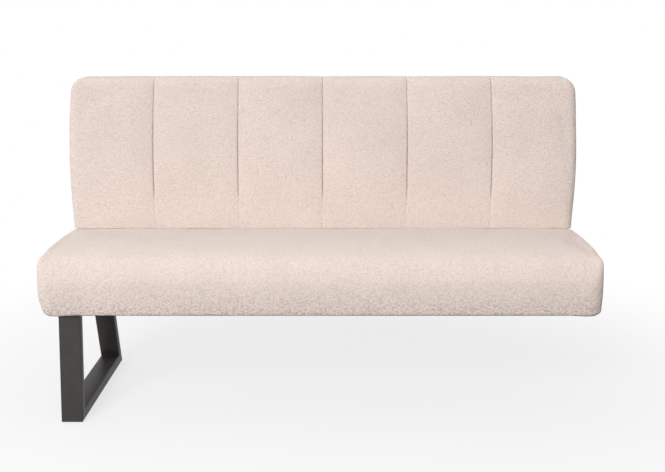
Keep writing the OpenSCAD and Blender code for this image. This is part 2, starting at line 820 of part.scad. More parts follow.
// A mid stile stands in line with a cross board of the seat, bored for two bracket bolts
module back_mid_stile(x) {
    color("#dcc39a")
    difference() {
        leaning() board([x - board_t / 2, back_frame_y, stile_z0],
            [x + board_t / 2, back_frame_y + back_board_t, stile_z1]);
        arm_bolts(x) translate([0, 0, -over])
            cylinder(r = bolt_r + bolt_fit, h = board_t + 2 * over, $fn = round_steps);
    }
}

// Closes the underside of the backrest inside its cover
module back_bottom_cloth() {
    in = cover_t + lay + back_low_r;
    end = seat_half - back_hem + over;
    color("#2b2b2d")
    difference() {
        board([-end, y_back + in + tuck_d * tuck_foot_share, back_z + cover_t + lay],
            [end, y_rear - in, back_z + cover_t + lay + dust_cloth_t]);
        for (x = cross_places) arm_slot(x, slot_gap, 0, -back_t, 2 * back_t);
    }
}

// Brackets

arm_y = back_frame_y + (back_board_t - bracket_arm_w) / 2;
arm_mid = arm_y + bracket_arm_w / 2;
arm_bolt_low = stile_z0 + 2 * bolt_columns;
arm_bolt_high = bracket_rise - bracket_arm_w;
foot_y0 = shelf_y + bracket_gap;
foot_y1 = foot_y0 + bracket_foot_w;
foot_z0 = frame_z + bracket_gap;
foot_bolt_shares = [0.25, 0.7];
elbow_rear_shares = [0.54, 0.59];
elbow_front_share = 0.68;

// Level and upright places of a point of the leaning frame
function lean_y(y, z) = y_back + y * cos_lean + z * sin_lean;
function lean_z(y, z) = back_z - y * sin_lean + z * cos_lean;
function lean_point(y, z) = [lean_y(y, z), lean_z(y, z)];

// A flat plate beside a cross board and a mid stile
module back_bracket(x) {
    end = arm_y + bracket_arm_w;
    bend_z = (shelf_z - bracket_gap - back_z) / cos_lean;
    rise = shelf_z - foot_z0;
    color("#33383c")
    difference() {
        along_x(x + board_t / 2 + lay, bracket_t) polygon([
            [foot_y0, foot_z0], [foot_y1, foot_z0],
            [foot_y1, foot_z0 + rise * elbow_rear_shares[0]],
            [lean_y(end, bend_z), foot_z0 + rise * elbow_rear_shares[1]],
            lean_point(end, bend_z), lean_point(end, bracket_rise),
            lean_point(arm_y, bracket_rise), lean_point(arm_y, bend_z),
            [foot_y0, foot_z0 + rise * elbow_front_share]
        ]);
        foot_bolts(x) translate([0, 0, board_t])
            cylinder(r = bolt_r + bolt_fit, h = bracket_t + 2 * over, $fn = round_steps);
        arm_bolts(x) translate([0, 0, board_t])
            cylinder(r = bolt_r + bolt_fit, h = bracket_t + 2 * over, $fn = round_steps);
    }
}

// Where the arm of a bracket passes a board of the leaning frame, open to the rear by open
module arm_slot(x, gap, open, z, h) {
    g = gap + slot_gap;
    leaning() translate([x + board_t / 2 + lay - g, arm_y - g, z])
        cube([bracket_t + 2 * g, bracket_arm_w + 2 * g + open, h]);
}

// Where the arm of a bracket passes the seat's shelf and cover
module bracket_slot(x, z, h) {
    g = slot_gap;
    y0 = lean_y(arm_y, (z - back_z) / cos_lean);
    y1 = lean_y(arm_y + bracket_arm_w, (z + h - back_z) / cos_lean);
    translate([x + board_t / 2 + lay - g, y0 - 2 * g, z])
        cube([bracket_t + 2 * g, y1 - y0 + 4 * g, h]);
}

// Places of the bolts at the foot and at the arm of a bracket, from the far side of the board
module foot_bolts(x) {
    for (s = foot_bolt_shares)
        translate([x - board_t / 2, (foot_y0 + foot_y1) / 2, frame_z + (shelf_z - frame_z) * s])
            rotate([0, 90, 0]) children();
}
module arm_bolts(x) {
    for (z = [arm_bolt_low, arm_bolt_high])
        translate([x - board_t / 2, lean_y(arm_mid, z), lean_z(arm_mid, z)])
            rotate([0, 90, 0]) children();
}
module bracket_places() {
    for (x = cross_places) {
        foot_bolts(x) children();
        arm_bolts(x) children();
    }
}

module bracket_bolts() {
    color("#8d9194")
    bracket_places() {
        translate([0, 0, board_t + lay + bracket_t + lay])
            cylinder(r = head_r, h = head_h, $fn = hex_sides);
        translate([0, 0, -washer_t - nut_h - bolt_end])
            cylinder(r = bolt_r, h = washer_t + nut_h + bolt_end + board_t + lay + bracket_t + lay,
                $fn = round_steps);
    }
}

module bracket_washers() {
    color("#a4a8ab")
    bracket_places() translate([0, 0, -washer_t]) difference() {
        cylinder(r = washer_r, h = washer_t, $fn = round_steps);
        translate([0, 0, -over])
            cylinder(r = bolt_r + bolt_fit, h = washer_t + 2 * over, $fn = round_steps);
    }
}

module bracket_nuts() {
    color("#8d9194")
    bracket_places() translate([0, 0, -washer_t - nut_h]) difference() {
        cylinder(r = head_r, h = nut_h, $fn = hex_sides);
        translate([0, 0, -over])
            cylinder(r = bolt_r + thread_fit, h = nut_h + 2 * over, $fn = round_steps);
    }
}

// Leg frame

rail_z1 = glide_h + tube_t;
inner_y = leg_y1 - tube_level - tube_t * tan_rake;
wall_share = tube_wall / tube_t;

// A place on the mitre between the floor rail and the rear upright
function rear_mitre(share) = [leg_y1 + (inner_y - leg_y1) * share, glide_h + tube_t * share];
function front_mitre(share) = [leg_y0 + tube_t * share, glide_h + tube_t * share];

// A run of tube along its outline, hollow inside its walls
module tube(outer, inner) {
    x = -mount_x - tube_w / 2;
    color("#262626")
    difference() {
        along_x(x, tube_w) polygon(outer);
        along_x(x + tube_wall, tube_w - 2 * tube_wall) polygon(inner);
    }
}

module leg_front_upright() {
    tube(
        [front_mitre(0), front_mitre(1), [leg_y0 + tube_t, plate_z], [leg_y0, plate_z]],
        [front_mitre(wall_share), front_mitre(1 - wall_share),
            [leg_y0 + tube_t - tube_wall, plate_z + over], [leg_y0 + tube_wall, plate_z + over]]);
}

module leg_rear_upright() {
    y = leg_top_y;
    run = over * tan_rake;
    tube(
        [rear_mitre(0), [y, plate_z], [y - tube_level, plate_z], rear_mitre(1)],
        [rear_mitre(wall_share), [y - wall_level - run, plate_z + over],
            [y - tube_level + wall_level - run, plate_z + over], rear_mitre(1 - wall_share)]);
}

module leg_floor_rail() {
    color("#262626")
    difference() {
        tube([front_mitre(0), rear_mitre(0), rear_mitre(1), front_mitre(1)],
            [front_mitre(wall_share), rear_mitre(wall_share),
                rear_mitre(1 - wall_share), front_mitre(1 - wall_share)]);
        glide_places() cylinder(r = stem_r + thread_fit, h = glide_h + tube_wall + over,
            $fn = round_steps);
    }
}

// A glide under each corner of the floor rail
module glide_places() {
    for (x = [-1, 1], y = [leg_y0 + 2 * glide_r, leg_y1 - 2 * glide_r])
        translate([-mount_x + x * tube_w / 4, y, 0]) children();
}

module floor_glides() {
    color("#55575a")
    glide_places() {
        cylinder(r = glide_r, h = glide_h, $fn = round_steps);
        cylinder(r = stem_r, h = stem_h, $fn = round_steps);
    }
}

// Plates and their bolts

module end_plate(side, y0, y1) {
    board([side * mount_x - tube_w / 2, y0, plate_z],
        [side * mount_x + tube_w / 2, y1, plate_z + plate_t]);
}
module plate_hole(r) {
    translate([0, 0, plate_z - over]) cylinder(r = r, h = plate_t + 2 * over, $fn = round_steps);
}

// The countersink round a flush head, as wide as the head with its clearance
module sunk_hole() {
    translate([0, 0, plate_z - over])
        cylinder(r1 = sunk_r + bolt_fit + lay + over, r2 = bolt_r + bolt_fit,
            h = sunk_h + lay + over, $fn = round_steps);
}

module leg_top_plate() {
    color("#262626")
    difference() {
        end_plate(-1, leg_y0, leg_top_y + plate_lip);
        bolt_grid(-1, leg_bolt_rows) plate_hole(bolt_r + bolt_fit);
    }
}

// The plate under the right end: four flush bolts hold it, four tapped holes take the next module
module coupling_plate() {
    reach = leg_bolt_rows / 2 + plate_end;
    color("#262626")
    difference() {
        end_plate(1, bolt_mid_y - reach, bolt_mid_y + reach);
        bolt_grid(1, leg_bolt_rows) {
            plate_hole(bolt_r + bolt_fit);
            sunk_hole();
        }
        bolt_grid(1, coupling_rows) plate_hole(bolt_r);
    }
}

// Hexagon heads under the leg frame's plate, flush heads in the coupling plate
module plate_bolts() {
    top = mount_board_top + tee_flange_t + bolt_end;
    color("#8d9194") {
        bolt_grid(-1, leg_bolt_rows) {
            translate([0, 0, plate_z - head_h]) cylinder(r = head_r, h = head_h, $fn = hex_sides);
            translate([0, 0, plate_z - head_h])
                cylinder(r = bolt_r, h = top - plate_z + head_h, $fn = round_steps);
        }
        bolt_grid(1, leg_bolt_rows) translate([0, 0, plate_z + lay]) {
            cylinder(r1 = sunk_r, r2 = bolt_r, h = sunk_h, $fn = round_steps);
            cylinder(r = bolt_r, h = top - plate_z - lay, $fn = round_steps);
        }
    }
}

module tee_nuts() {
    color("#a4a8ab")
    for (side = [-1, 1]) bolt_grid(side, leg_bolt_rows) difference() {
        union() {
            translate([0, 0, mount_board_top])
                cylinder(r = tee_flange_r, h = tee_flange_t, $fn = round_steps);
            translate([0, 0, mount_board_top - tee_barrel_h])
                cylinder(r = tee_barrel_r, h = tee_barrel_h + tee_flange_t, $fn = round_steps);
        }
        translate([0, 0, mount_board_top - tee_barrel_h - over])
            cylinder(r = bolt_r + thread_fit, h = tee_barrel_h + tee_flange_t + 2 * over,
                $fn = round_steps);
    }
}

// The named pieces of the numbered kinds

module seat_left_end_board() seat_end_board(-frame_half);
module seat_right_end_board() seat_end_board(frame_half - board_t);
module seat_left_cross_board() seat_cross_board(cross_places[0]);
module seat_centre_cross_board() seat_cross_board(cross_places[1]);
module seat_right_cross_board() seat_cross_board(cross_places[2]);
module seat_left_mounting_board() seat_mounting_board(-1, [leg_bolt_rows]);
module seat_right_mounting_board() seat_mounting_board(1, [leg_bolt_rows, coupling_rows]);
module back_left_stile() back_stile(-back_frame_half, back_board_w - back_frame_half);
module back_right_stile() back_stile(back_frame_half - back_board_w, back_frame_half);
module back_left_mid_stile() back_mid_stile(cross_places[0]);
module back_centre_mid_stile() back_mid_stile(cross_places[1]);
module back_right_mid_stile() back_mid_stile(cross_places[2]);
module left_back_bracket() back_bracket(cross_places[0]);
module centre_back_bracket() back_bracket(cross_places[1]);
module right_back_bracket() back_bracket(cross_places[2]);

seat_cover();
seat_foam();
seat_border_padding();
seat_spring_felt();
seat_springs();
seat_spring_clips();
seat_front_rail();
seat_spring_rail();
seat_rear_rail();
seat_left_end_board();
seat_right_end_board();
seat_left_cross_board();
seat_centre_cross_board();
seat_right_cross_board();
seat_back_shelf();
seat_left_mounting_board();
seat_right_mounting_board();
seat_corner_blocks();
seat_dust_cloth();
seat_dust_cloth_staples();
back_cover();
back_foam();
back_webbing();
back_top_rail();
back_foot_board();
back_left_stile();
back_right_stile();
back_left_mid_stile();
back_centre_mid_stile();
back_right_mid_stile();
back_hardboard();
back_wadding();
back_border_padding();
back_bottom_cloth();
left_back_bracket();
centre_back_bracket();
right_back_bracket();
bracket_bolts();
bracket_washers();
bracket_nuts();
leg_front_upright();
leg_rear_upright();
leg_floor_rail();
leg_top_plate();
coupling_plate();
plate_bolts();
tee_nuts();
floor_glides();
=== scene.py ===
"""A bench module dressed for its picture: looped-pile cover, channelled backrest, steel side frame.

Every length is in metres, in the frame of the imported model: X along the bench, Y to the rear
and Z up from the floor.
"""

import json
import logging
import math
from collections.abc import Callable, Iterator, Sequence
from contextlib import contextmanager
from dataclasses import dataclass
from enum import Enum

import bmesh
import bpy
import numpy as np
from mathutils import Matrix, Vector
from mathutils.bvhtree import BVHTree

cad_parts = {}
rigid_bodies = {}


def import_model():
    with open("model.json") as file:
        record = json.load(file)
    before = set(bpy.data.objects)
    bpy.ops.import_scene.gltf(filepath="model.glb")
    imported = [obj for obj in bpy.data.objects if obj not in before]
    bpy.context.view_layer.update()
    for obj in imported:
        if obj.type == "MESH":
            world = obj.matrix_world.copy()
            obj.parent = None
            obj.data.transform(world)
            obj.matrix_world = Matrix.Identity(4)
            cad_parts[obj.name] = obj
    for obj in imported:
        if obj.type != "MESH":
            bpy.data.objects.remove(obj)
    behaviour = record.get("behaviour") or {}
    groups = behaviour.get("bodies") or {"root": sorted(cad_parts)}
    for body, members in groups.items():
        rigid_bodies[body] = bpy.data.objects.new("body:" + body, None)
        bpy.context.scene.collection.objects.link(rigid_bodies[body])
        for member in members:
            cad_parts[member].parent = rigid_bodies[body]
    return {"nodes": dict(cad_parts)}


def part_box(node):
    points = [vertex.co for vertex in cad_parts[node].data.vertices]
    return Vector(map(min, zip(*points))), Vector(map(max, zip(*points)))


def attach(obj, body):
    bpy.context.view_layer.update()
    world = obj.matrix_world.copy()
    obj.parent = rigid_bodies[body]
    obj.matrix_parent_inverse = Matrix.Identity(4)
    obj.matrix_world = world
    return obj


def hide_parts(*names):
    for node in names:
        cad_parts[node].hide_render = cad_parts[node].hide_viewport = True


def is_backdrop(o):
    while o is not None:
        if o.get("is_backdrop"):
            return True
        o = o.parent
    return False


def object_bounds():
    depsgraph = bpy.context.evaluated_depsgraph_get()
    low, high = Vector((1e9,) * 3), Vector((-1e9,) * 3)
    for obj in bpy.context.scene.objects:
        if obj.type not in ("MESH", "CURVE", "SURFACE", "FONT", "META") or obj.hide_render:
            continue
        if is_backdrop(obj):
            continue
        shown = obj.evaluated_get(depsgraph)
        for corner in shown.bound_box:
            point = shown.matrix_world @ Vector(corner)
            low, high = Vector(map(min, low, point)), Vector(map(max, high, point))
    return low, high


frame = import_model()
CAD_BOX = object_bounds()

Array = np.ndarray
Pair = tuple[float, float]
Triple = tuple[float, float, float]
Colour = Triple
Stops = tuple[Pair, ...]
Faces = list[tuple[int, ...]]
Wave = tuple[float, float, int]
Cut = Callable[[float], Pair]
Height = Callable[[Array, Array], Array]
Piece = bpy.types.Object
Mesh = bpy.types.Mesh
Node = bpy.types.Node
Socket = bpy.types.NodeSocket

LOG = logging.getLogger("bench_module")
BODY = "root"
WHITE = (1.0, 1.0, 1.0)
HASH_PRIMES = np.array([73856093, 19349663, 83492791], dtype=np.int64)
HASH_STEP, HASH_STIR, HASH_MASK = 2654435761, 1274126177, 0xFFFFFF
SAME_PLACE = 1e-6


def hashed(cell: Array, seed: int) -> Array:
    """Gives each whole-numbered cell of space a fixed number from 0 to 1.

    Args:
        cell: Whole numbers, with three in the last axis.
        seed: Chooses one of many such fields.

    Returns:
        One number for each cell.
    """
    mixed = (cell.astype(np.int64) * HASH_PRIMES).sum(-1) + seed * HASH_STEP
    mixed = (mixed ^ (mixed >> 13)) * HASH_STIR
    mixed = mixed ^ (mixed >> 16)
    return (mixed & HASH_MASK) / float(HASH_MASK)


def soft_noise(points: Array, cell: float, seed: int) -> Array:
    """Smooth noise from -1 to 1.

    Args:
        points: Places, with three numbers each.
        cell: Distance over which the noise changes.
        seed: Chooses the field.

    Returns:
        One number for each place.
    """
    scaled = points / cell
    base = np.floor(scaled)
    part = scaled - base
    part = part * part * (3 - 2 * part)
    total = np.zeros(len(points))
    for corner in np.ndindex(2, 2, 2):
        step = np.array(corner)
        weight = np.prod(np.where(step == 1, part, 1 - part), axis=1)
        total += weight * hashed(base + step, seed)
    return 2 * total - 1


def loop_noise(points: Array, cell: float, seed: int) -> Array:
    """Rounded nubs, 1 at the middle of each and 0 between them.

    Args:
        points: Places, with three numbers each.
        cell: Usual distance between nubs.
        seed: Chooses where they lie.

    Returns:
        One height for each place.
    """
    scaled = points / cell
    base = np.floor(scaled)
    nearest = np.full(len(points), np.inf)
    for offset in np.ndindex(3, 3, 3):
        home = base + np.array(offset) - 1
        spot = home + np.stack([hashed(home, seed + k) for k in range(3)], axis=1)
        nearest = np.minimum(nearest, ((scaled - spot) ** 2).sum(axis=1))
    return np.clip(1 - np.sqrt(nearest), 0, 1)


def eased(value: Array) -> Array:
    """A smooth step from 0 at 0 to 1 at 1, and level beyond them."""
    kept = np.clip(value, 0, 1)
    return kept * kept * (3 - 2 * kept)


@dataclass(frozen=True)
class Unevenness:
    """Slow waves and the nubs of the pile: each a cell, a height and a seed."""

    waves: tuple[Wave, ...]
    nubs: Wave = (1.0, 0.0, 0)

    def slow(self, points: Array) -> Array:
        """The height of the slow waves at each point."""
        return sum(soft_noise(points, cell, seed) * height for cell, height, seed in self.waves)

    def pile(self, points: Array) -> Array:
        """The height of the nubs at each point."""
        cell, height, seed = self.nubs
        return loop_noise(points, cell, seed) * height


# Pieces and their meshes


def linked(name: str, data: bpy.types.ID) -> Piece:
    """Makes an object.

    Args:
        name: Its name.
        data: Its mesh, lamp or camera.

    Returns:
        The object, in the scene's collection.
    """
    made = bpy.data.objects.new(name, data)
    bpy.context.scene.collection.objects.link(made)
    return made


def new_piece(name: str, points: Array, faces: Sequence, edges: Sequence = ()) -> Piece:
    """Makes an object from points, faces and loose edges, shaded as one surface.

    Args:
        name: The piece's name.
        points: Places of its corners.
        faces: Corner numbers of each face.
        edges: Corner numbers of each edge that no face has.

    Returns:
        The object, in the scene's collection.
    """
    mesh = bpy.data.meshes.new(name)
    mesh.from_pydata([tuple(p) for p in points], edges, [tuple(f) for f in faces])
    mesh.polygons.foreach_set("use_smooth", [True] * len(mesh.polygons))
    mesh.update()
    return linked(name, mesh)


def wall_faces(rings: int, count: int, first: int = 0) -> Faces:
    """Faces between closed rings of points.

    Args:
        rings: Number of rings.
        count: Points in each.
        first: Number of the first point.

    Returns:
        The faces as corner numbers.
    """
    return [(a + i, a + (i + 1) % count, a + count + (i + 1) % count, a + count + i)
            for a in range(first, first + (rings - 1) * count, count) for i in range(count)]


@contextmanager
def editing(mesh: Mesh) -> Iterator[bmesh.types.BMesh]:
    """Lends a mesh for editing and writes it back at the end.

    Args:
        mesh: The mesh.

    Yields:
        Its editable form.
    """
    work = bmesh.new()
    work.from_mesh(mesh)
    yield work
    work.to_mesh(mesh)
    work.free()


def vectors_of(items: bpy.types.bpy_prop_collection, key: str) -> Array:
    """Reads a vector of each item of a mesh.

    Args:
        items: The mesh's corners or their normals.
        key: The vector's name.

    Returns:
        A row for each item.
    """
    flat = np.empty(len(items) * 3, dtype=np.float32)
    items.foreach_get(key, flat)
    return flat.reshape(-1, 3).astype(float)


def places_of(mesh: Mesh) -> Array:
    """The places of a mesh's corners."""
    return vectors_of(mesh.vertices, "co")


def surface_of(mesh: Mesh) -> tuple[Array, Array]:
    """The places of a mesh's corners and the directions that they face."""
    return places_of(mesh), vectors_of(mesh.vertex_normals, "vector")


def move_to(mesh: Mesh, points: Array) -> None:
    """Puts a mesh's corners at new places."""
    mesh.vertices.foreach_set("co", points.astype(np.float32).ravel())
    mesh.update()


def settle(piece: Piece) -> None:
    """Turns modifiers into plain mesh and removes them.

    Args:
        piece: The piece that has them.
    """
    graph = bpy.context.evaluated_depsgraph_get()
    graph.update()
    made = bpy.data.meshes.new_from_object(piece.evaluated_get(graph))
    piece.modifiers.clear()
    piece.data = made
    made.polygons.foreach_set("use_smooth", [True] * len(made.polygons))


def refine(piece: Piece) -> None:
    """Divides each face into four and rounds the result.

    Args:
        piece: The piece whose faces they are.
    """
    finer = piece.modifiers.new("finer", "SUBSURF")
    finer.levels = finer.render_levels = 1
    settle(piece)


def even_mesh(piece: Piece, cell: float, passes: int = 0) -> None:
    """Gives a closed piece even faces.

    Args:
        piece: The piece.
        cell: The side of the new faces.
        passes: How often the result is smoothed.
    """
    even = piece.modifiers.new("even", "REMESH")
    even.mode = "VOXEL"
    even.voxel_size = cell
    if passes:
        ease = piece.modifiers.new("ease", "SMOOTH")
        ease.iterations = passes
    settle(piece)


def outward(piece: Piece) -> None:
    """Turns all the faces of a closed piece outwards.

    Args:
        piece: The piece.
    """
    with editing(piece.data) as work:
        bmesh.ops.remove_doubles(work, verts=work.verts, dist=SAME_PLACE)
        bmesh.ops.recalc_face_normals(work, faces=work.faces)


def copied(node: str, name: str) -> Piece:
    """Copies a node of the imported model, which stays as it is.

    Args:
        node: Its name.
        name: The copy's name.

    Returns:
        The copy, with its faces outwards.
    """
    piece = linked(name, frame["nodes"][node].data.copy())
    outward(piece)
    return piece


def fix(piece: Piece, *nodes: str) -> None:
    """Fixes a piece to the body and logs it.

    Args:
        piece: The piece.
        *nodes: The nodes that it stands for, if any.
    """
    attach(piece, BODY)
    if nodes:
        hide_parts(*nodes)
    LOG.info("%s: %d faces", piece.name, len(piece.data.polygons))


def even_out(mesh: Mesh, values: Array, times: int) -> Array:
    """Averages a value with those of each corner's neighbours.

    Args:
        mesh: The mesh whose edges join the neighbours.
        values: A row for each corner.
        times: How often it is done.

    Returns:
        The smoothed rows.
    """
    own, others = 0.4, 0.6
    pairs = np.empty(len(mesh.edges) * 2, dtype=np.int64)
    mesh.edges.foreach_get("vertices", pairs)
    a, b = pairs.reshape(-1, 2).T
    count = np.bincount(a, minlength=len(values)) + np.bincount(b, minlength=len(values))
    for _ in range(times):
        total = np.zeros_like(values)
        for axis in range(values.shape[1]):
            total[:, axis] = (np.bincount(a, values[b, axis], len(values))
                              + np.bincount(b, values[a, axis], len(values)))
        values = own * values + others * total / np.maximum(count, 1)[:, None]
    return values


@dataclass(frozen=True)
class Filling:
    """How a cover is swollen by its foam in a cloth simulation."""

    pressure: float = 4.0
    frames: int = 20
    quality: int = 6
    move_passes: int = 24
    reach_passes: int = 12
    dent: float = 0.0005

    def simulated(self, piece: Piece, held: Array) -> Array:
        """Runs the cloth.

        Args:
            piece: The closed cover.
            held: For each corner, 1 where it is sewn or stapled down and 0 where it is free.

        Returns:
            Where the corners end.
        """
        group = piece.vertex_groups.new(name="held")
        for index in np.nonzero(held > 0)[0]:
            group.add([int(index)], float(held[index]), "REPLACE")
        cloth = piece.modifiers.new("swell", "CLOTH")
        cloth.settings.quality = self.quality
        cloth.settings.use_pressure = True
        cloth.settings.uniform_pressure_force = self.pressure
        cloth.settings.vertex_group_mass = group.name
        cloth.settings.effector_weights.gravity = 0
        cloth.collision_settings.use_collision = False
        cloth.point_cache.frame_start = 1
        cloth.point_cache.frame_end = self.frames
        scene = bpy.context.scene
        for step in range(1, self.frames + 1):
            scene.frame_set(step)
        graph = bpy.context.evaluated_depsgraph_get()
        after = places_of(piece.evaluated_get(graph).data)
        piece.modifiers.remove(cloth)
        piece.vertex_groups.clear()
        scene.frame_set(1)
        return after

    def swell(self, piece: Piece, held: Array, reach: Array) -> None:
        """Args:
            piece: The closed cover.
            held: For each corner, 1 where it is sewn or stapled down and 0 where it is free.
            reach: The furthest that each corner may move.
        """
        before = places_of(piece.data)
        after = self.simulated(piece, held)
        move = even_out(piece.data, after - before, self.move_passes) * (1 - held)[:, None]
        length = np.linalg.norm(move, axis=1) + 1e-9
        LOG.info("%s swelled %.1f mm at most", piece.name, 1000 * length.max())
        reach = even_out(piece.data, reach[:, None], self.reach_passes)[:, 0]
        move *= np.minimum(1, reach / length)[:, None]
        facing = surface_of(piece.data)[1]
        out = (move * facing).sum(axis=1)
        move += facing * (np.maximum(out, -self.dent) - out)[:, None]
        move_to(piece.data, before + move)


def kept_inside(points: Array, cover: Piece, gap: float, near: float = 0.03) -> Array:
    """Presses points back under a cover.

    Args:
        points: Places of a filling's corners.
        cover: The closed or hemmed cover over it.
        gap: Least depth under the cover's surface.
        near: Furthest distance from the cover at which a point is moved.

    Returns:
        The places, with those that stood out moved in.
    """
    tree = BVHTree.FromPolygons([v.co for v in cover.data.vertices],
                                [tuple(p.vertices) for p in cover.data.polygons])
    for index, point in enumerate(points):
        spot, facing, _, distance = tree.find_nearest(Vector(point))
        out = (Vector(point) - spot).dot(facing)
        if distance < near and out > -gap:
            points[index] -= np.array(facing) * (gap + out)
    return points


# Node trees and materials


class Nodes:
    """A node tree whose nodes are added by kind."""

    prefix = "ShaderNode"

    def __init__(self, tree: bpy.types.NodeTree) -> None:
        """Takes over a tree and empties it."""
        self.tree = tree
        self.tree.nodes.clear()

    def put(self, socket: Socket, value: object) -> None:
        """Feeds a socket.

        Args:
            socket: The input.
            value: The output that is linked to it, or its value.
        """
        if isinstance(value, bpy.types.NodeSocket):
            self.tree.links.new(value, socket)
        else:
            socket.default_value = value

    def add(self, kind: str, options: dict | None = None, first: Sequence = (),
            **inputs) -> Node:
        """Adds a node.

        Args:
            kind: Its type, without the words that all types of this tree start with.
            options: Its own settings.
            first: Values or sockets for its first inputs, in their order.
            **inputs: Values or sockets for its inputs, with _ for each space in a name.

        Returns:
            The node.
        """
        node = self.tree.nodes.new(self.prefix + kind)
        for key, value in (options or {}).items():
            setattr(node, key, value)
        for socket, value in zip(node.inputs, first):
            self.put(socket, value)
        for key, value in inputs.items():
            self.put(node.inputs[key.replace("_", " ")], value)
        return node

    def maths(self, action: str, a: object, b: object = 0.0) -> Socket:
        """The result of a sum on two numbers or sockets."""
        return self.add("Math", {"operation": action}, (a, b)).outputs[0]

    def ramp(self, value: Socket, *stops: tuple[float, Colour]) -> Socket:
        """Draws a colour for each value between stops.

        Args:
            value: What the colour depends on.
            *stops: Each a value and its colour.

        Returns:
            The colour.
        """
        node = self.add("ValToRGB", Fac=value)
        elements = node.color_ramp.elements
        while len(elements) < len(stops):
            elements.new(0.5)
        for element, (spot, colour) in zip(elements, stops):
            element.position = spot
            element.color = (*colour, 1)
        return node.outputs[0]

    def span(self, value: Socket, low: float, high: float) -> Socket:
        """Carries a value from 0 to 1 over to a range."""
        return self.add("MapRange", Value=value, To_Min=low, To_Max=high).outputs[0]

    def seen(self) -> Socket:
        """Tells the rays that show the background: straight, mirrored or through glass.

        Returns:
            1 for such a ray and 0 for another.
        """
        path = self.add("LightPath").outputs
        near = self.maths("MAXIMUM", path["Is Camera Ray"], path["Is Glossy Ray"])
        return self.maths("MAXIMUM", near, path["Is Transmission Ray"])


class Graph(Nodes):
    """The node tree of one material, with its shader and the piece's own coordinates."""

    def __init__(self, name: str) -> None:
        """Starts a material.

        Args:
            name: Its name.
        """
        self.material = bpy.data.materials.new(name)
        self.material.use_nodes = True
        super().__init__(self.material.node_tree)
        self.shader = self.add("BsdfPrincipled")
        self.out = self.add("OutputMaterial", Surface=self.shader.outputs[0])
        self.place = self.add("TexCoord").outputs["Object"]

    def shade(self, **inputs) -> None:
        """Sets inputs of the shader, with _ for each space in a name."""
        for key, value in inputs.items():
            self.put(self.shader.inputs[key.replace("_", " ")], value)

    def scaled(self, stretch: Triple) -> Socket:
        """The piece's coordinates, each multiplied by a number."""
        return self.add("Mapping", Vector=self.place, Scale=stretch).outputs[0]

    def noise(self, place: Socket, scale: float, detail: float = 2, rough: float = 0.5) -> Socket:
        """Cloudy noise from 0 to 1."""
        return self.add("TexNoise", Vector=place, Scale=scale, Detail=detail,
                        Roughness=rough).outputs[0]

    def cells(self, place: Socket, scale: float) -> Socket:
        """Distance to the nearest of scattered points, in cells."""
        return self.add("TexVoronoi", Vector=place, Scale=scale).outputs["Distance"]

    def loops(self, place: Socket, scale: float) -> Socket:
        """1 at the middle of each loop of yarn, falling to its edge."""
        return self.maths("SUBTRACT", 1.0, self.cells(place, scale))

    def total(self, *parts: tuple[Socket, float]) -> Socket:
        """Adds sockets up.

        Args:
            *parts: Each a socket and the share that it is multiplied by.

        Returns:
            The sum.
        """
        terms = [self.maths("MULTIPLY", socket, share) for socket, share in parts]
        while len(terms) > 1:
            last = terms.pop()
            terms[-1] = self.maths("ADD", terms[-1], last)
        return terms[0]

    def tones(self, value: Socket, colour: Colour, stops: Stops) -> Socket:
        """Shades of one colour; each stop is a value and a share of the colour."""
        return self.ramp(value, *((spot, shaded(colour, share)) for spot, share in stops))

    def blend(self, share: object, a: object, b: object, way: str = "MIX") -> Socket:
        """Mixes two colours.

        Args:
            share: How much of the second there is.
            a: The first colour.
            b: The second.
            way: How they are mixed.

        Returns:
            The mixed colour.
        """
        node = self.add("Mix", {"data_type": "RGBA", "blend_type": way})
        for index, value in ((0, share), (6, a), (7, b)):
            self.put(node.inputs[index], value)
        return node.outputs[2]

    def relief(self, height: Socket, depth: float, strength: float) -> None:
        """Gives the surface a fine relief of that depth."""
        bump = self.add("Bump", Height=height, Distance=depth, Strength=strength)
        self.shade(Normal=bump.outputs[0])


def shaded(colour: Colour, share: float) -> Colour:
    """A colour made darker or lighter by a share."""
    return tuple(min(1.0, c * share) for c in colour)


class Grain(Enum):
    """The way that the grain of a board runs, as a stretch of its coordinates."""

    ALONG = (0.08, 1.0, 1.0)
    DEEP = (1.0, 0.08, 1.0)
    UP = (1.0, 1.0, 0.08)


@dataclass(frozen=True)
class Finish:
    """A surface: its name, the record's slot, its colour and how rough it is."""

    name: str
    slot: str
    colour: Colour
    roughness: float

    def material(self) -> bpy.types.Material:
        """Makes the material once and gives it again later.

        Returns:
            The material.
        """
        known = bpy.data.materials.get(self.name)
        if known:
            return known
        graph = Graph(self.name)
        graph.shade(Base_Color=(*self.colour, 1), Roughness=self.roughness)
        self.paint(graph)
        graph.material.diffuse_color = (*self.colour, 1)
        return graph.material

    def paint(self, graph: Graph) -> None:
        """Adds the finish's own detail to the material's nodes."""

    def dress(self, piece: Piece) -> None:
        """Gives a piece this finish.

        Args:
            piece: The piece.
        """
        piece.data.materials.clear()
        piece.data.materials.append(self.material())


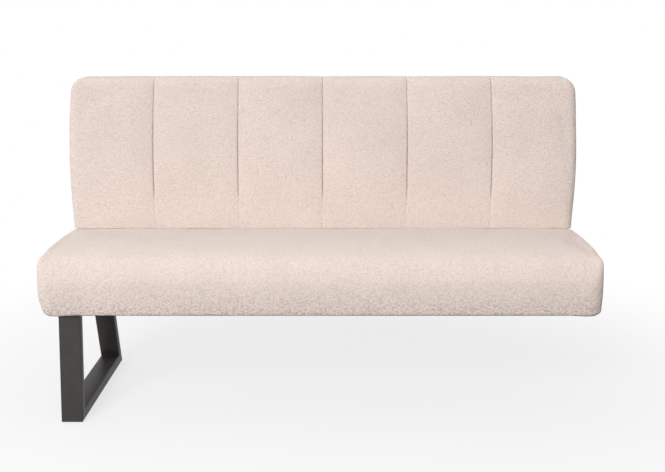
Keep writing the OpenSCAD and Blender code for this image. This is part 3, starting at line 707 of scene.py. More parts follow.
@dataclass(frozen=True)
class LoopedPile(Finish):
    """Looped pile cloth: nubs of curled yarn with fuzz between them, painted shade in the pits
    between the loops, and near the floor coarser loops with a darker painted shade.
    """

    loop: float = 0.0056
    curls: float = 2.3
    fuzz: float = 5
    height: float = 0.0033
    wander: float = 0.006
    # Size of the coarser loops near the floor and the heights over which they fade out; their
    # darker tones are painted shade.
    fuller: float = 1.1
    painted_shade_below: Pair = (0.32, 0.41)
    # Tones of the nubs: darker in the pits and lighter on the loops' tops, as painted shade and
    # painted highlight.
    shades: Stops = ((0.25, 0.87), (0.45, 0.95), (0.60, 1.0), (0.80, 1.11))
    # Tones of the coarser loops near the floor, darker still: painted shade of light grazing the
    # seat's lower front.
    low_painted_shade: Stops = ((0.30, 0.74), (0.50, 0.93), (0.64, 1.0), (0.80, 1.13))
    drift: tuple[tuple[float, Colour], ...] = ((0.3, (0.96, 0.955, 0.95)), (0.7, WHITE))

    def paint(self, graph: Graph) -> None:
        """Draws nubs, curls, painted shade between the loops, a darker painted shade near the floor
        and slow changes of tone.

        Args:
            graph: The material's nodes.
        """
        sway = graph.noise(graph.place, 60, 2)
        place = graph.add("VectorMath", {"operation": "MULTIPLY_ADD"},
                          (sway, (self.wander,) * 3, graph.place)).outputs[0]
        nubs = graph.loops(place, 1 / self.loop)
        curls = graph.loops(place, self.curls / self.loop)
        fuzz = graph.noise(place, self.fuzz / self.loop, 4, 0.6)
        pile = graph.total((nubs, 0.55), (curls, 0.25), (fuzz, 0.2))
        yarn_with_painted_shade = graph.tones(pile, self.colour, self.shades)
        # Near the floor, coarser and darker loops: painted shade of light grazing the seat's lower
        # front.
        shade_tufts = graph.loops(place, 1 / (self.loop * self.fuller))
        shade_tufts = graph.total((shade_tufts, 0.75), (fuzz, 0.25))
        height = graph.add("SeparateXYZ", Vector=graph.place).outputs[2]
        low = graph.add("MapRange", Value=height, From_Min=self.painted_shade_below[0],
                        From_Max=self.painted_shade_below[1], To_Min=1.0, To_Max=0.0).outputs[0]
        yarn_with_painted_shade = graph.blend(low, yarn_with_painted_shade, graph.tones(shade_tufts, self.colour, self.low_painted_shade))
        tone = graph.ramp(graph.noise(graph.place, 7, 3), *self.drift)
        graph.shade(Base_Color=graph.blend(1.0, yarn_with_painted_shade, tone, "MULTIPLY"), Sheen_Weight=0.08,
                    Diffuse_Roughness=0.6, Sheen_Roughness=0.5,
                    Sheen_Tint=(1.0, 0.93, 0.88, 1), Specular_IOR_Level=0.1)
        graph.relief(pile, self.height, 0.9)


@dataclass(frozen=True)
class PaintedSteel(Finish):
    """Steel under a baked black powder coat."""

    peel: float = 0.00012
    dust: Stops = ((0.45, 1.0), (0.75, 1.35))
    dulled: float = 0.08

    def paint(self, graph: Graph) -> None:
        """Draws the coat's fine peel, dulled patches and a little dust.

        Args:
            graph: The material's nodes.
        """
        patches = graph.noise(graph.place, 14, 4, 0.6)
        graph.shade(Base_Color=graph.tones(patches, self.colour, self.dust),
                    Specular_IOR_Level=0.28,
                    Roughness=graph.span(patches, self.roughness - self.dulled,
                                         self.roughness + self.dulled))
        graph.relief(graph.noise(graph.place, 900, 3), self.peel, 0.6)


@dataclass(frozen=True)
class BareSteel(Finish):
    """Plated or drawn steel."""

    lines: Triple = WHITE
    marks: float = 0.00006
    cloud: Stops = ((0.3, 0.8), (0.7, 1.0))
    spread: Pair = (-0.1, 0.12)

    def paint(self, graph: Graph) -> None:
        """Draws cloudy plating and fine drawing marks.

        Args:
            graph: The material's nodes.
        """
        cloud = graph.noise(graph.place, 45, 4)
        low, high = (self.roughness + step for step in self.spread)
        graph.shade(Base_Color=graph.tones(cloud, self.colour, self.cloud), Metallic=1.0,
                    Roughness=graph.span(cloud, low, high))
        graph.relief(graph.noise(graph.scaled(self.lines), 1400, 2), self.marks, 0.5)


@dataclass(frozen=True)
class Timber(Finish):
    """Sawn boards, solid or in plies."""

    grain: Grain = Grain.ALONG
    ply: float = 0.0
    dark: float = 0.72
    rings: float = 95.0
    shades: Stops = ((0.05, 0.72), (0.45, 1.0), (1.0, 1.08))
    pores: tuple[tuple[float, Colour], ...] = ((0.25, (0.8, 0.78, 0.74)), (0.5, WHITE))
    pore_depth: float = 0.0003

    def paint(self, graph: Graph) -> None:
        """Draws growth rings along the grain, pores, and plies where it has them.

        Args:
            graph: The material's nodes.
        """
        along = graph.scaled(self.grain.value)
        rings = graph.maths("SINE", graph.maths("MULTIPLY", graph.noise(along, 9, 3), self.rings))
        rings = graph.span(graph.maths("ABSOLUTE", rings), 0, 1)
        pores = graph.noise(along, 700, 2)
        wood = graph.tones(rings, self.colour, self.shades)
        wood = graph.blend(1.0, wood, graph.ramp(pores, *self.pores), "MULTIPLY")
        if self.ply:
            across = 2 if self.grain.value[0] < 1 else 0
            place = graph.add("SeparateXYZ", Vector=graph.place).outputs[across]
            layer = graph.maths("MULTIPLY", place, math.pi / self.ply)
            band = graph.span(graph.maths("SINE", layer), 0.0, 0.35)
            wood = graph.blend(band, wood, (*shaded(self.colour, self.dark), 1))
        graph.shade(Base_Color=wood, Specular_IOR_Level=0.3)
        graph.relief(pores, self.pore_depth, 0.5)


@dataclass(frozen=True)
class Fibre(Finish):
    """Felt, wadding, foam and other fills: tangled or cellular."""

    grain: float = 0.002
    fleck: float = 0.85
    open_cells: bool = False
    drift: tuple[tuple[float, Colour], ...] = ((0.3, (0.93, 0.92, 0.9)), (0.7, WHITE))

    def paint(self, graph: Graph) -> None:
        """Draws the tangle or the cells and their flecks.

        Args:
            graph: The material's nodes.
        """
        field = (graph.cells(graph.place, 1 / self.grain) if self.open_cells
                 else graph.noise(graph.place, 1 / self.grain, 5, 0.65))
        tone = graph.tones(field, self.colour, ((0.25, self.fleck), (0.65, 1.0)))
        slow = graph.ramp(graph.noise(graph.place, 12, 2), *self.drift)
        graph.shade(Base_Color=graph.blend(1.0, tone, slow, "MULTIPLY"), Specular_IOR_Level=0.15)
        graph.relief(field, self.grain * 0.5, 0.7)


@dataclass(frozen=True)
class Woven(Finish):
    """Plain weave or bonded cloth with a regular mesh."""

    pitch: float = 0.0012
    fleck: float = 0.6

    def paint(self, graph: Graph) -> None:
        """Draws crossing threads.

        Args:
            graph: The material's nodes.
        """
        parts = graph.add("SeparateXYZ", Vector=graph.place)
        wave = [graph.maths("SINE", graph.maths("MULTIPLY", part, math.tau / self.pitch))
                for part in parts.outputs]
        cross = graph.maths("MULTIPLY", wave[0], graph.maths("ADD", wave[1], wave[2]))
        threads = graph.span(cross, 0.35, 0.85)
        tone = graph.tones(threads, self.colour, ((0.2, self.fleck), (0.8, 1.0)))
        graph.shade(Base_Color=tone, Specular_IOR_Level=0.2, Sheen_Weight=0.1)
        graph.relief(threads, self.pitch * 0.3, 0.6)


@dataclass(frozen=True)
class Plastic(Finish):
    """Moulded plastic with a fine spark-eroded grain."""

    grain: float = 0.0001

    def paint(self, graph: Graph) -> None:
        """Draws the grain and scuffs.

        Args:
            graph: The material's nodes.
        """
        scuffs = graph.noise(graph.place, 90, 4, 0.7)
        graph.shade(Base_Color=graph.tones(scuffs, self.colour, ((0.4, 1.0), (0.8, 1.3))))
        graph.relief(graph.noise(graph.place, 1500, 2), self.grain, 0.5)


COVER = LoopedPile("cover_looped_pile", "cover_boucle", (0.80, 0.695, 0.638), 0.95)
THREAD = Woven("sewing_thread", "cover_boucle", (0.62, 0.52, 0.45), 0.8, pitch=0.0006)
BLACK = PaintedSteel("powder_coated_steel", "black_steel", (0.040, 0.0355, 0.0335), 0.5)
ZINC = BareSteel("zinc_plated_steel", "zinc_steel", (0.62, 0.63, 0.65), 0.34)
WIRE = BareSteel("drawn_spring_wire", "spring_steel", (0.42, 0.43, 0.45), 0.32)
BRACKET = BareSteel("mill_finish_steel", "bracket_steel", (0.3, 0.31, 0.33), 0.42,
                    lines=(1.0, 0.2, 0.05))
FOAM = Fibre("cut_foam", "foam", (0.86, 0.78, 0.52), 0.9, grain=0.0016, open_cells=True)
WADDING = Fibre("polyester_wadding", "padding", (0.88, 0.86, 0.82), 0.95, grain=0.004)
FELT = Fibre("needled_felt", "spring_felt", (0.27, 0.26, 0.25), 0.95, grain=0.003, fleck=0.5)
BOARD = Timber("hardboard_sheet", "hardboard", (0.36, 0.22, 0.13), 0.6)
UNDER_CLOTH = Woven("spun_under_cloth", "dust_cloth", (0.022, 0.022, 0.024), 0.85, pitch=0.0016)
STRAP = Woven("webbing_strap", "webbing", (0.05, 0.05, 0.055), 0.7, pitch=0.0024)
GLIDE = Plastic("glide_plastic", "glide_plastic", (0.05, 0.05, 0.052), 0.5)


# Soft covers


@dataclass
class RoundedBlock:
    """A block with rounded edges, drawn as closed rings that rise and then close in over it.

    Each rounding is given for the ends, the front and the rear. The runs give the places along
    the front or rear, from minus a half length up to but not including that half length.
    """

    half: float
    front: float
    rear: float
    foot: float
    corner: float
    low: Triple
    high: Triple
    runs: Callable[[float], Array]
    sides: int
    bends: int = 6
    lows: int = 5
    least: float = 0.002

    def outline(self, inset: Array) -> Array:
        """Draws one level outline.

        Args:
            inset: How far it is drawn in at the ends, the front and the rear.

        Returns:
            A row for each point: x, y and the x and y of the direction that it faces.
        """
        half, front, rear = self.half - inset[0], self.front + inset[1], self.rear - inset[2]
        r = max(self.least, self.corner - max(inset[0], inset[1]))
        turn = np.arange(self.bends) / self.bends * math.pi / 2
        run, share = self.runs(half - r), np.arange(self.sides) / self.sides
        near, far = front + r, rear - r
        fall, rise = far + (near - far) * share, near + (far - near) * share
        corners = ((half - r, far), (r - half, far), (r - half, near), (half - r, near))
        sides = ((-run, rear, 0, 1), (-half, fall, -1, 0), (run, front, 0, -1), (half, rise, 1, 0))
        rows = []
        for quarter, ((x, y), side) in enumerate(zip(corners, sides)):
            a = turn + quarter * math.pi / 2
            rows += [(x + r * np.cos(a), y + r * np.sin(a), np.cos(a), np.sin(a)), side]
        return np.concatenate([np.stack(np.broadcast_arrays(*row), 1) for row in rows])

    def by_side(self, values: Triple, ring: Array) -> Array:
        """Picks from the ends', front's and rear's values by where each point faces."""
        long = np.where(ring[:, 3] < 0, values[1], values[2])
        return values[0] * ring[:, 2] ** 2 + long * ring[:, 3] ** 2

    def rings(self, top: Height, walls: int, tops: int, crowns: int) -> Array:
        """All the rings from the foot up and over.

        Args:
            top: Gives the height of the top at x and y.
            walls: Rings between the two roundings.
            tops: Steps of the upper rounding.
            crowns: Rings that close in over the top.

        Returns:
            An array of rings, points and x, y, z, facing x, facing y.
        """
        low, high = np.array(self.low), np.array(self.high)
        made = []
        for k in range(self.lows):
            a = math.pi / 2 * (1 - k / (self.lows - 1))
            ring = self.outline(low * (1 - math.cos(a)))
            made.append((ring, self.foot + self.by_side(self.low, ring) * (1 - math.sin(a))))
        edge = self.outline(low * 0)
        z0 = self.foot + self.by_side(self.low, edge)
        z1 = top(edge[:, 0], edge[:, 1]) - self.by_side(self.high, edge)
        made += [(edge, z0 + (z1 - z0) * k / (walls + 1)) for k in range(1, walls + 1)]
        for k in range(tops + 1):
            a = math.pi / 2 * k / tops
            ring = self.outline(high * (1 - math.cos(a)))
            drop = self.by_side(self.high, ring) * (1 - math.sin(a))
            made.append((ring, top(ring[:, 0], ring[:, 1]) - drop))
        reach = (self.rear - self.high[2] - self.front - self.high[1]) / 2
        for k in range(1, crowns + 1):
            ring = self.outline(high + reach * k / (crowns + 0.5))
            made.append((ring, top(ring[:, 0], ring[:, 1])))
        return np.array([np.insert(ring, 2, z, axis=1) for ring, z in made])


def block_faces(rings: int, count: int) -> Faces:
    """Faces between rings, and over the first and the last of them.

    Args:
        rings: Number of rings.
        count: Points in each.

    Returns:
        The faces as corner numbers.
    """
    faces = wall_faces(rings, count)
    last = (rings - 1) * count
    for a in range(count // 2 - 1):
        b = count - 1 - a
        faces.append((last + a, last + a + 1, last + b - 1, last + b))
        faces.append((b, b - 1, a + 1, a))
    return faces


@dataclass
class Backrest:
    """The leaning backrest: six upright channels in front, plain behind."""

    half: float = 0.78
    front: float = 0.16409
    rear: float = 0.25609
    foot: float = 0.4663
    top: float = 0.938
    lean: float = math.radians(7.25)
    corner: float = 0.026
    low: Triple = (0.003, 0.004, 0.006)
    high: Triple = (0.048, 0.034, 0.026)
    rows: tuple[int, int, int] = (52, 8, 3)
    sides: int = 9
    end_steps: int = 25
    steps: int = 22
    seam_steps: tuple[float, ...] = (0, 0.0012, 0.0026, 0.0045, 0.0075, 0.0120, 0.0180)
    bow: float = 0.018
    bow_back: float = 0.006
    bow_share: float = 0.55
    channels: int = 6
    belly: float = 0.004
    belly_share: float = 0.4
    valley: float = 4.5
    tuck: float = 0.012
    tuck_foot: float = 0.25
    tuck_full: float = 0.5
    crease: float = 0.0085
    crease_width: float = 0.0018
    crease_foot: float = 0.17
    crease_full: Pair = (0.17, 0.08)
    crease_slack: float = 0.4
    crease_slack_from: Pair = (0.6, 0.2)
    foot_draw: float = 0.005
    foot_share: float = 0.15
    sewn: float = 0.014
    stood: float = 0.012
    spread: float = 0.10
    swelling: Pair = (0.002, 0.005)
    filling: Filling = Filling()
    surface: Unevenness = Unevenness(((0.11, 0.0012, 5), (0.04, 0.0005, 6)),
                                     (0.0078, 0.00045, 11))

    @property
    def pitch(self) -> float:
        """Distance from seam to seam."""
        return 2 * self.half / self.channels

    @property
    def seams(self) -> Array:
        """X of each seam at the foot."""
        return (np.arange(1, self.channels) - self.channels / 2) * self.pitch

    def share(self, z: Array) -> Array:
        """Height as a share of the backrest's own."""
        return (z - self.foot) / (self.top - self.foot)

    def ends_at(self, h: Array) -> Array:
        """Half the backrest's width, which bows out between its foot and its top.

        Args:
            h: Shares of the height.

        Returns:
            Half the width at each.
        """
        kept = np.clip(h, 0, 1)
        rise = np.sin(math.pi / 2 * np.minimum(kept / self.bow_share, 1))
        late = np.clip((kept - self.bow_share) / (1 - self.bow_share), 0, 1)
        return self.half + self.bow * rise - self.bow_back * late ** 2

    def run_places(self, half: float) -> Array:
        """Places along the backrest, close together at each seam.

        Args:
            half: Half the length.

        Returns:
            X of each, from -half up to half.
        """
        near, last = np.array(self.seam_steps), self.channels - 1
        stops = [-half, *self.seams, half]
        rows = []
        for k in range(self.channels):
            left = stops[k] + (near if k else near[:1])
            right = stops[k + 1] - (near[:0:-1] if k < last else near[:1])
            steps = self.end_steps if k in (0, last) else self.steps
            rows += [left, np.linspace(left[-1], right[0], steps + 1)[1:-1]]
            rows += [right] if k < last else []
        return np.concatenate(rows)

    def unbowed(self, points: Array) -> Array:
        """X of each point as it would be at the foot."""
        return points[:, 0] * self.half / self.ends_at(self.share(points[:, 2]))

    def seam_distance(self, x: Array) -> Array:
        """Distance from the nearest sewn seam; the two ends have none."""
        return np.abs(x[:, None] - self.seams[None, :]).min(axis=1)

    def tuck_fade(self, h: Array) -> Array:
        """How deep the seams are drawn at a share of the height."""
        return self.tuck_foot + (1 - self.tuck_foot) * eased(h / self.tuck_full)

    def drawn_back(self, h: Array) -> Array:
        """How far the front is drawn back towards its foot, where the seat meets it."""
        return self.foot_draw * np.clip(1 - h / self.foot_share, 0, 1) ** 2

    def crease_fade(self, h: Array) -> Array:
        """How tight the thread is at a share of the height: tightest below the middle.

        Args:
            h: Shares of the height.

        Returns:
            The share of the full crease at each.
        """
        (full, over), (slack, fading) = self.crease_full, self.crease_slack_from
        tight = self.crease_foot + (1 - self.crease_foot) * eased((h - full) / over)
        return tight * (1 - self.crease_slack * eased((h - slack) / fading))

    def cover(self) -> Piece:
        """Builds the cover: form, swelling, sewn creases and pile.

        Returns:
            The cover.
        """
        block = RoundedBlock(self.half, self.front, self.rear, self.foot, self.corner,
                             self.low, self.high, self.run_places, self.sides)
        rings = block.rings(lambda x, y: np.full_like(x, self.top), *self.rows)
        x, y, z, _, facing = rings.reshape(-1, 5).T
        h = self.share(z)
        facing = np.where(facing < 0, facing ** 2, 0)
        near = np.clip(1 - (y - self.front) / self.high[1], 0, 1)
        valley = np.clip(1 - self.seam_distance(x) / (self.pitch / 2), 0, 1) ** self.valley
        bulge = np.where(h < self.belly_share,
                         np.sin(np.pi / 2 * np.clip(h, 0, 1) / self.belly_share),
                         np.sin(np.pi / 2 * np.clip(1 - h, 0, 1) / (1 - self.belly_share)))
        push = self.belly * bulge - self.tuck * valley * self.tuck_fade(h) - self.drawn_back(h)
        lean = (z - self.foot) * math.tan(self.lean)
        points = np.column_stack([x * self.ends_at(h) / self.half,
                                  y - facing * near * push + lean, z])
        piece = new_piece("back_cover_boucle", points, block_faces(*rings.shape[:2]))
        outward(piece)
        self.fill(piece)
        refine(piece)
        self.sew(piece)
        return piece

    def fill(self, piece: Piece) -> None:
        """Swells the channels between their seams.

        Args:
            piece: The cover.
        """
        points, facing = surface_of(piece.data)
        level, z = self.unbowed(points), points[:, 2]
        turn, low = 1.2, 0.05
        front = facing[:, 1] < -0.2
        held = np.where(front, 1 - eased(self.seam_distance(level) / self.sewn), 0.0)
        held = np.where(z < self.foot + self.stood, 1.0, held)
        inside = eased((self.half - np.abs(level)) / self.spread)
        inside *= eased((self.top - z) / self.spread)
        least, more = self.swelling
        reach = least + more * eased(-facing[:, 1] * turn) * inside
        self.filling.swell(piece, held, reach * eased((z - self.foot) / low))

    def crease_at(self, points: Array, facing: Array, width: float) -> Array:
        """How far the thread draws the front in.

        Args:
            points: Places on the front.
            facing: The directions that they face.
            width: How wide the crease is.

        Returns:
            The depth at each point.
        """
        turn, curve = 1.6, 1.3
        h, level = self.share(points[:, 2]), self.unbowed(points)
        front = eased(-facing[:, 1] * turn) * (np.abs(level) < self.half - self.pitch / 2)
        deep = self.crease * np.exp(-(self.seam_distance(level) / width) ** curve) * front
        return deep * self.crease_fade(h)

    def sew(self, piece: Piece) -> None:
        """Draws the seams in and gives the surface its pile.

        Args:
            piece: The cover.
        """
        points, facing = surface_of(piece.data)
        start, length, least = 0.004, 0.03, 0.2
        points[:, 1] += self.crease_at(points, facing, self.crease_width)
        free = eased((points[:, 2] - self.foot - start) / length)
        rough = self.surface.slow(points) * free + self.surface.pile(points)
        points += facing * (rough * np.clip(free, least, 1))[:, None]
        move_to(piece.data, points)

    def seam_line(self, x: float) -> Array:
        """Draws one seam inside its crease.

        Args:
            x: Where it stands at the foot.

        Returns:
            Points up the seam.
        """
        ends, count, lift = 0.03, 60, 0.0006
        z = np.linspace(self.foot + ends, self.top - ends, count)
        h = self.share(z)
        deep = (self.tuck * self.tuck_fade(h) + self.crease * self.crease_fade(h)
                + self.drawn_back(h))
        y = self.front + deep - lift + (z - self.foot) * math.tan(self.lean)
        return np.column_stack([x * self.ends_at(h) / self.half, y, z])

    def stitches(self) -> Piece:
        """Sews rows of stitches down inside the creases.

        Returns:
            The piece that holds them all.
        """
        gap, long, wide = 0.0068, 0.0026, 0.0006
        spots = []
        for x in self.seams:
            line = self.seam_line(x)
            steps = np.linalg.norm(np.diff(line, axis=0), axis=1)
            along = np.concatenate([[0], np.cumsum(steps)])
            spots += [[np.interp(place, along, line[:, k]) for k in range(3)]
                      for place in np.arange(0, along[-1], gap)]
        unit = turned_unit("stitch", [(0, -long), (0.0004, -0.0022), (wide, 0), (0.0004, 0.0022),
                                      (0, long)], 6)
        turns = np.array([(-self.lean, 0, 0)] * len(spots))
        return scattered("back_channel_stitches", np.array(spots), turns, unit, THREAD)


@dataclass
class SeatPad:
    """The seat: a crowned pad with a full front roll, turned under its frame.

    A reach is how far from an edge a form starts and the length over which it comes in.
    """

    half: float = 0.78
    front: float = -0.313
    rear: float = 0.25609
    back_front: float = 0.16409
    under: float = 0.308
    height: float = 0.466
    corner: float = 0.040
    low: Triple = (0.008, 0.006, 0.010)
    high: Triple = (0.014, 0.070, 0.012)
    rows: tuple[int, int, int] = (8, 10, 12)
    runs: int = 60
    sides: int = 20
    crown: float = 0.009
    crown_loss: float = 0.3
    hem: float = 0.036
    hem_thick: float = 0.002
    droop: float = 0.004
    droop_height: float = 0.05
    droop_end_reach: Pair = (0.11, 0.08)
    droop_front_reach: Pair = (0.045, 0.03)
    fuller: float = 0.003
    fuller_rear_reach: Pair = (0.01, 0.03)
    fuller_front_reach: Pair = (0.06, 0.10)
    bulge: float = 0.004
    bulge_reach: Pair = (0.06, 0.05)
    wrap: float = 0.10
    wrap_curve: float = 2.6
    drawn_under: float = 0.016
    drawn_left: float = 0.011
    drawn_right: float = 0.003
    drawn_front_reach: Pair = (0.10, 0.08)
    drawn_end_reach: Pair = (0.12, 0.10)
    voxel: float = 0.008
    stapled: float = 0.010
    swelling: Pair = (0.003, 0.004)
    filling: Filling = Filling()
    surface: Unevenness = Unevenness(((0.13, 0.0014, 3), (0.045, 0.0006, 4)),
                                     (0.0078, 0.00045, 12))

    def run_places(self, half: float) -> Array:
        """Even places along the seat, from -half up to but not including half."""
        return -half + 2 * half * (np.arange(self.runs) / self.runs)

    def top(self, x: Array, y: Array) -> Array:
        """Height of the top: crowned in front of the backrest, flat under it.

        Args:
            x: Places along the seat.
            y: Places from front to rear.

        Returns:
            The height at each.
        """
        middle, reach = (self.front + self.back_front) / 2, (self.back_front - self.front) / 2
        deep = np.clip(1 - ((y - middle) / reach) ** 2, 0, 1)
        wide = 1 - self.crown_loss * np.clip(np.abs(x) / self.half, 0, 1) ** 8
        return self.height + self.crown * deep * wide

    def near_ends(self, points: Array, reach: Pair) -> Array:
        """Comes in from 0 to 1 towards either end, by a reach."""
        return eased((np.abs(points[:, 0]) - self.half + reach[0]) / reach[1])

    def near_front(self, points: Array, reach: Pair) -> Array:
        """Comes in from 0 to 1 towards the front, by a reach."""
        return eased((self.front + reach[0] - points[:, 1]) / reach[1])

    def cover(self) -> Piece:
        """Builds the cover: form, swelling, hem and pile.

        Returns:
            The cover.
        """
        block = RoundedBlock(self.half, self.front, self.rear, self.under, self.corner,
                             self.low, self.high, self.run_places, self.sides)
        rings = block.rings(self.top, *self.rows)
        points = rings.reshape(-1, 5)[:, :3].copy()
        self.droop_corners(points)
        self.fill_out(points)
        self.draw_in(points)
        piece = new_piece("seat_cover_boucle", points, block_faces(*rings.shape[:2]))
        outward(piece)
        even_mesh(piece, self.voxel)
        self.fill(piece)
        refine(piece)
        self.turn_under(piece)
        self.roughen(piece)
        return piece

    def droop_corners(self, points: Array) -> None:
        """Lowers the two front corners a little at the foot.

        Args:
            points: Places on the cover, which are changed.
        """
        corner = self.near_ends(points, self.droop_end_reach)
        corner *= self.near_front(points, self.droop_front_reach)
        high = self.droop_height
        points[:, 2] -= self.droop * corner * eased((self.under + high - points[:, 2]) / high)

    def fill_out(self, points: Array) -> None:
        """Makes the shoulders fuller and bows the ends out.

        Args:
            points: Places on the cover, which are changed.
        """
        diagonal, shoulder = 1.414, self.high[0]
        over = np.abs(points[:, 0]) - self.half + points[:, 2] - self.height + 2 * shoulder
        full = self.fuller * eased(over / (diagonal * shoulder))
        start, length = self.fuller_rear_reach
        full *= eased((self.back_front + start - points[:, 1]) / length)
        start, length = self.fuller_front_reach
        full *= eased((points[:, 1] - self.front - start) / length)
        level = np.clip((points[:, 2] - self.under) / (self.height - self.under), 0, 1)
        depth = np.clip((points[:, 1] - self.front) / (self.back_front - self.front), 0, 1)
        round_ends = self.bulge * np.sin(math.pi * level) * np.sin(math.pi * depth)
        round_ends *= self.near_ends(points, self.bulge_reach)
        points[:, 0] += np.sign(points[:, 0]) * (full + round_ends)
        points[:, 2] += full

    def draw_in(self, points: Array) -> None:
        """Draws the front and the ends in towards the foot, as the cover is pulled under.

        Args:
            points: Places on the cover, which are changed.
        """
        low = np.clip((self.under + self.wrap - points[:, 2]) / self.wrap, 0, 1)
        low = low ** self.wrap_curve
        ahead = self.near_front(points, self.drawn_front_reach)
        points[:, 1] += self.drawn_under * low * ahead
        inward = np.where(points[:, 0] < 0, self.drawn_left, -self.drawn_right)
        points[:, 0] += inward * low * self.near_ends(points, self.drawn_end_reach)

    def fill(self, piece: Piece) -> None:
        """Swells the pad where nothing stands on it and nothing holds it down.

        Args:
            piece: The cover.
        """
        points, facing = surface_of(piece.data)
        z, y = points[:, 2], points[:, 1]
        turn, low, deep, length = 1.2, 0.05, 0.05, 0.03
        held = np.where(z < self.under + self.stapled, 1.0, 0.0)
        held = np.where((y > self.back_front - 0.002) & (z > self.height - 0.006), 1.0, held)
        least, more = self.swelling
        reach = least + more * eased(np.maximum(facing[:, 2], -facing[:, 1]) * turn)
        reach *= eased((z - self.under) / low)
        clear = eased((self.back_front - y) / length)
        reach *= 1 - (1 - clear) * eased((z - self.height + deep) / length)
        self.filling.swell(piece, held, reach)

    def turn_under(self, piece: Piece) -> None:
        """Opens the underside inside the hem and gives the hem its thickness.

        Args:
            piece: The cover.
        """
        level = self.under + 0.003
        x, front, rear = self.half - self.hem, self.front + self.hem, self.rear - self.hem
        with editing(piece.data) as work:
            spots = [(face, face.calc_center_median()) for face in work.faces]
            gone = [face for face, spot in spots
                    if spot.z < level and abs(spot.x) < x and front < spot.y < rear]
            bmesh.ops.delete(work, geom=gone, context="FACES")
            edge = [e for e in work.edges if e.is_boundary]
            lip = bmesh.ops.extrude_edge_only(work, edges=edge)["geom"]
            for vert in (v for v in lip if isinstance(v, bmesh.types.BMVert)):
                vert.co.z = self.under + self.hem_thick

    def roughen(self, piece: Piece) -> None:
        """Gives the surface slow unevenness and its pile.

        Args:
            piece: The cover.
        """
        points, facing = surface_of(piece.data)
        flat = np.where(points[:, 2] < self.under + 0.004, 0.0, 1.0)
        held = np.where((points[:, 1] > self.back_front - 0.004)
                        & (points[:, 2] > self.height - 0.008), 0.0, 1.0)
        rough = self.surface.slow(points) + self.surface.pile(points)
        points += facing * (rough * flat * held)[:, None]
        move_to(piece.data, points)


# Repeated pieces


class Repeat(Nodes):
    """A Geometry Nodes tree with named size inputs."""

    prefix = "GeometryNode"

    def __init__(self, name: str, inputs: dict[str, float]) -> None:
        """Starts a tree with a geometry input, and a number for each named size.

        Args:
            name: The tree's name.
            inputs: Each size and its value.
        """
        super().__init__(bpy.data.node_groups.new(name, "GeometryNodeTree"))
        self.sizes = inputs
        face = self.tree.interface
        for way in ("INPUT", "OUTPUT"):
            face.new_socket("Geometry", in_out=way, socket_type="NodeSocketGeometry")
        self.ids = {}
        for key in inputs:
            size = face.new_socket(key, in_out="INPUT", socket_type="NodeSocketFloat")
            self.ids[key] = size.identifier
        self.source = self.tree.nodes.new("NodeGroupInput")
        self.out = self.tree.nodes.new("NodeGroupOutput")

    def bake(self, piece: Piece, geometry: Socket, finish: Finish) -> None:
        """Ends the tree with real geometry in a finish and makes it the piece's own mesh.

        Args:
            piece: The piece that the tree works on.
            geometry: The tree's result.
            finish: What it is made of.
        """
        real = self.add("RealizeInstances", Geometry=geometry)
        painted = self.add("SetMaterial", Geometry=real.outputs[0], Material=finish.material())
        self.put(self.out.inputs[0], painted.outputs[0])
        modifier = piece.modifiers.new("repeat", "NODES")
        modifier.node_group = self.tree
        for key, value in self.sizes.items():
            modifier[self.ids[key]] = value
        settle(piece)


def scattered(name: str, points: Array, turns: Array, unit: Piece, finish: Finish) -> Piece:
    """Sets a turned copy of a unit on each point.

    Args:
        name: The piece's name.
        points: Where the copies stand.
        turns: The turn of each as x, y, z angles.
        unit: The piece that is repeated, built round the origin. It is used up.
        finish: What the copies are made of.

    Returns:
        The piece that holds all the copies.
    """
    piece = new_piece(name, points, [])
    angles = piece.data.attributes.new("turn", "FLOAT_VECTOR", "POINT")
    angles.data.foreach_set("vector", turns.astype(np.float32).ravel())
    tree = Repeat(name + "_rows", {"Size": 1.0})
    copies = tree.add("ObjectInfo", Object=unit).outputs["Geometry"]
    stored = tree.add("InputNamedAttribute", {"data_type": "FLOAT_VECTOR"}, Name="turn")
    turned = tree.tree.nodes.new("FunctionNodeEulerToRotation")
    tree.put(turned.inputs[0], stored.outputs[0])
    held = tree.add("MeshToPoints", Mesh=tree.source.outputs["Geometry"]).outputs[0]
    placed = tree.add("InstanceOnPoints", Points=held, Instance=copies,
                      Rotation=turned.outputs[0], Scale=tree.source.outputs["Size"])
    tree.bake(piece, placed.outputs[0], finish)
    bpy.data.objects.remove(unit)
    return piece


def swept(name: str, lines: list[Array], radius: float, sides: int, finish: Finish) -> Piece:
    """Draws round wire along lines.

    Args:
        name: The piece's name.
        lines: The points of each wire's middle.
        radius: Half the wire's thickness.
        sides: Flats round the wire.
        finish: What the wire is made of.

    Returns:
        The piece that holds all the wires.
    """
    edges, start = [], 0
    for line in lines:
        edges += [(start + i, start + i + 1) for i in range(len(line) - 1)]
        start += len(line)
    piece = new_piece(name, np.concatenate(lines), [], edges)
    tree = Repeat(name + "_wire", {"Radius": radius})
    curve = tree.add("MeshToCurve", Mesh=tree.source.outputs["Geometry"]).outputs[0]
    ring = tree.add("CurvePrimitiveCircle", Resolution=sides,
                    Radius=tree.source.outputs["Radius"])
    tube = tree.add("CurveToMesh", Curve=curve, Profile_Curve=ring.outputs[0], Fill_Caps=True)
    tree.bake(piece, tube.outputs[0], finish)
    return piece


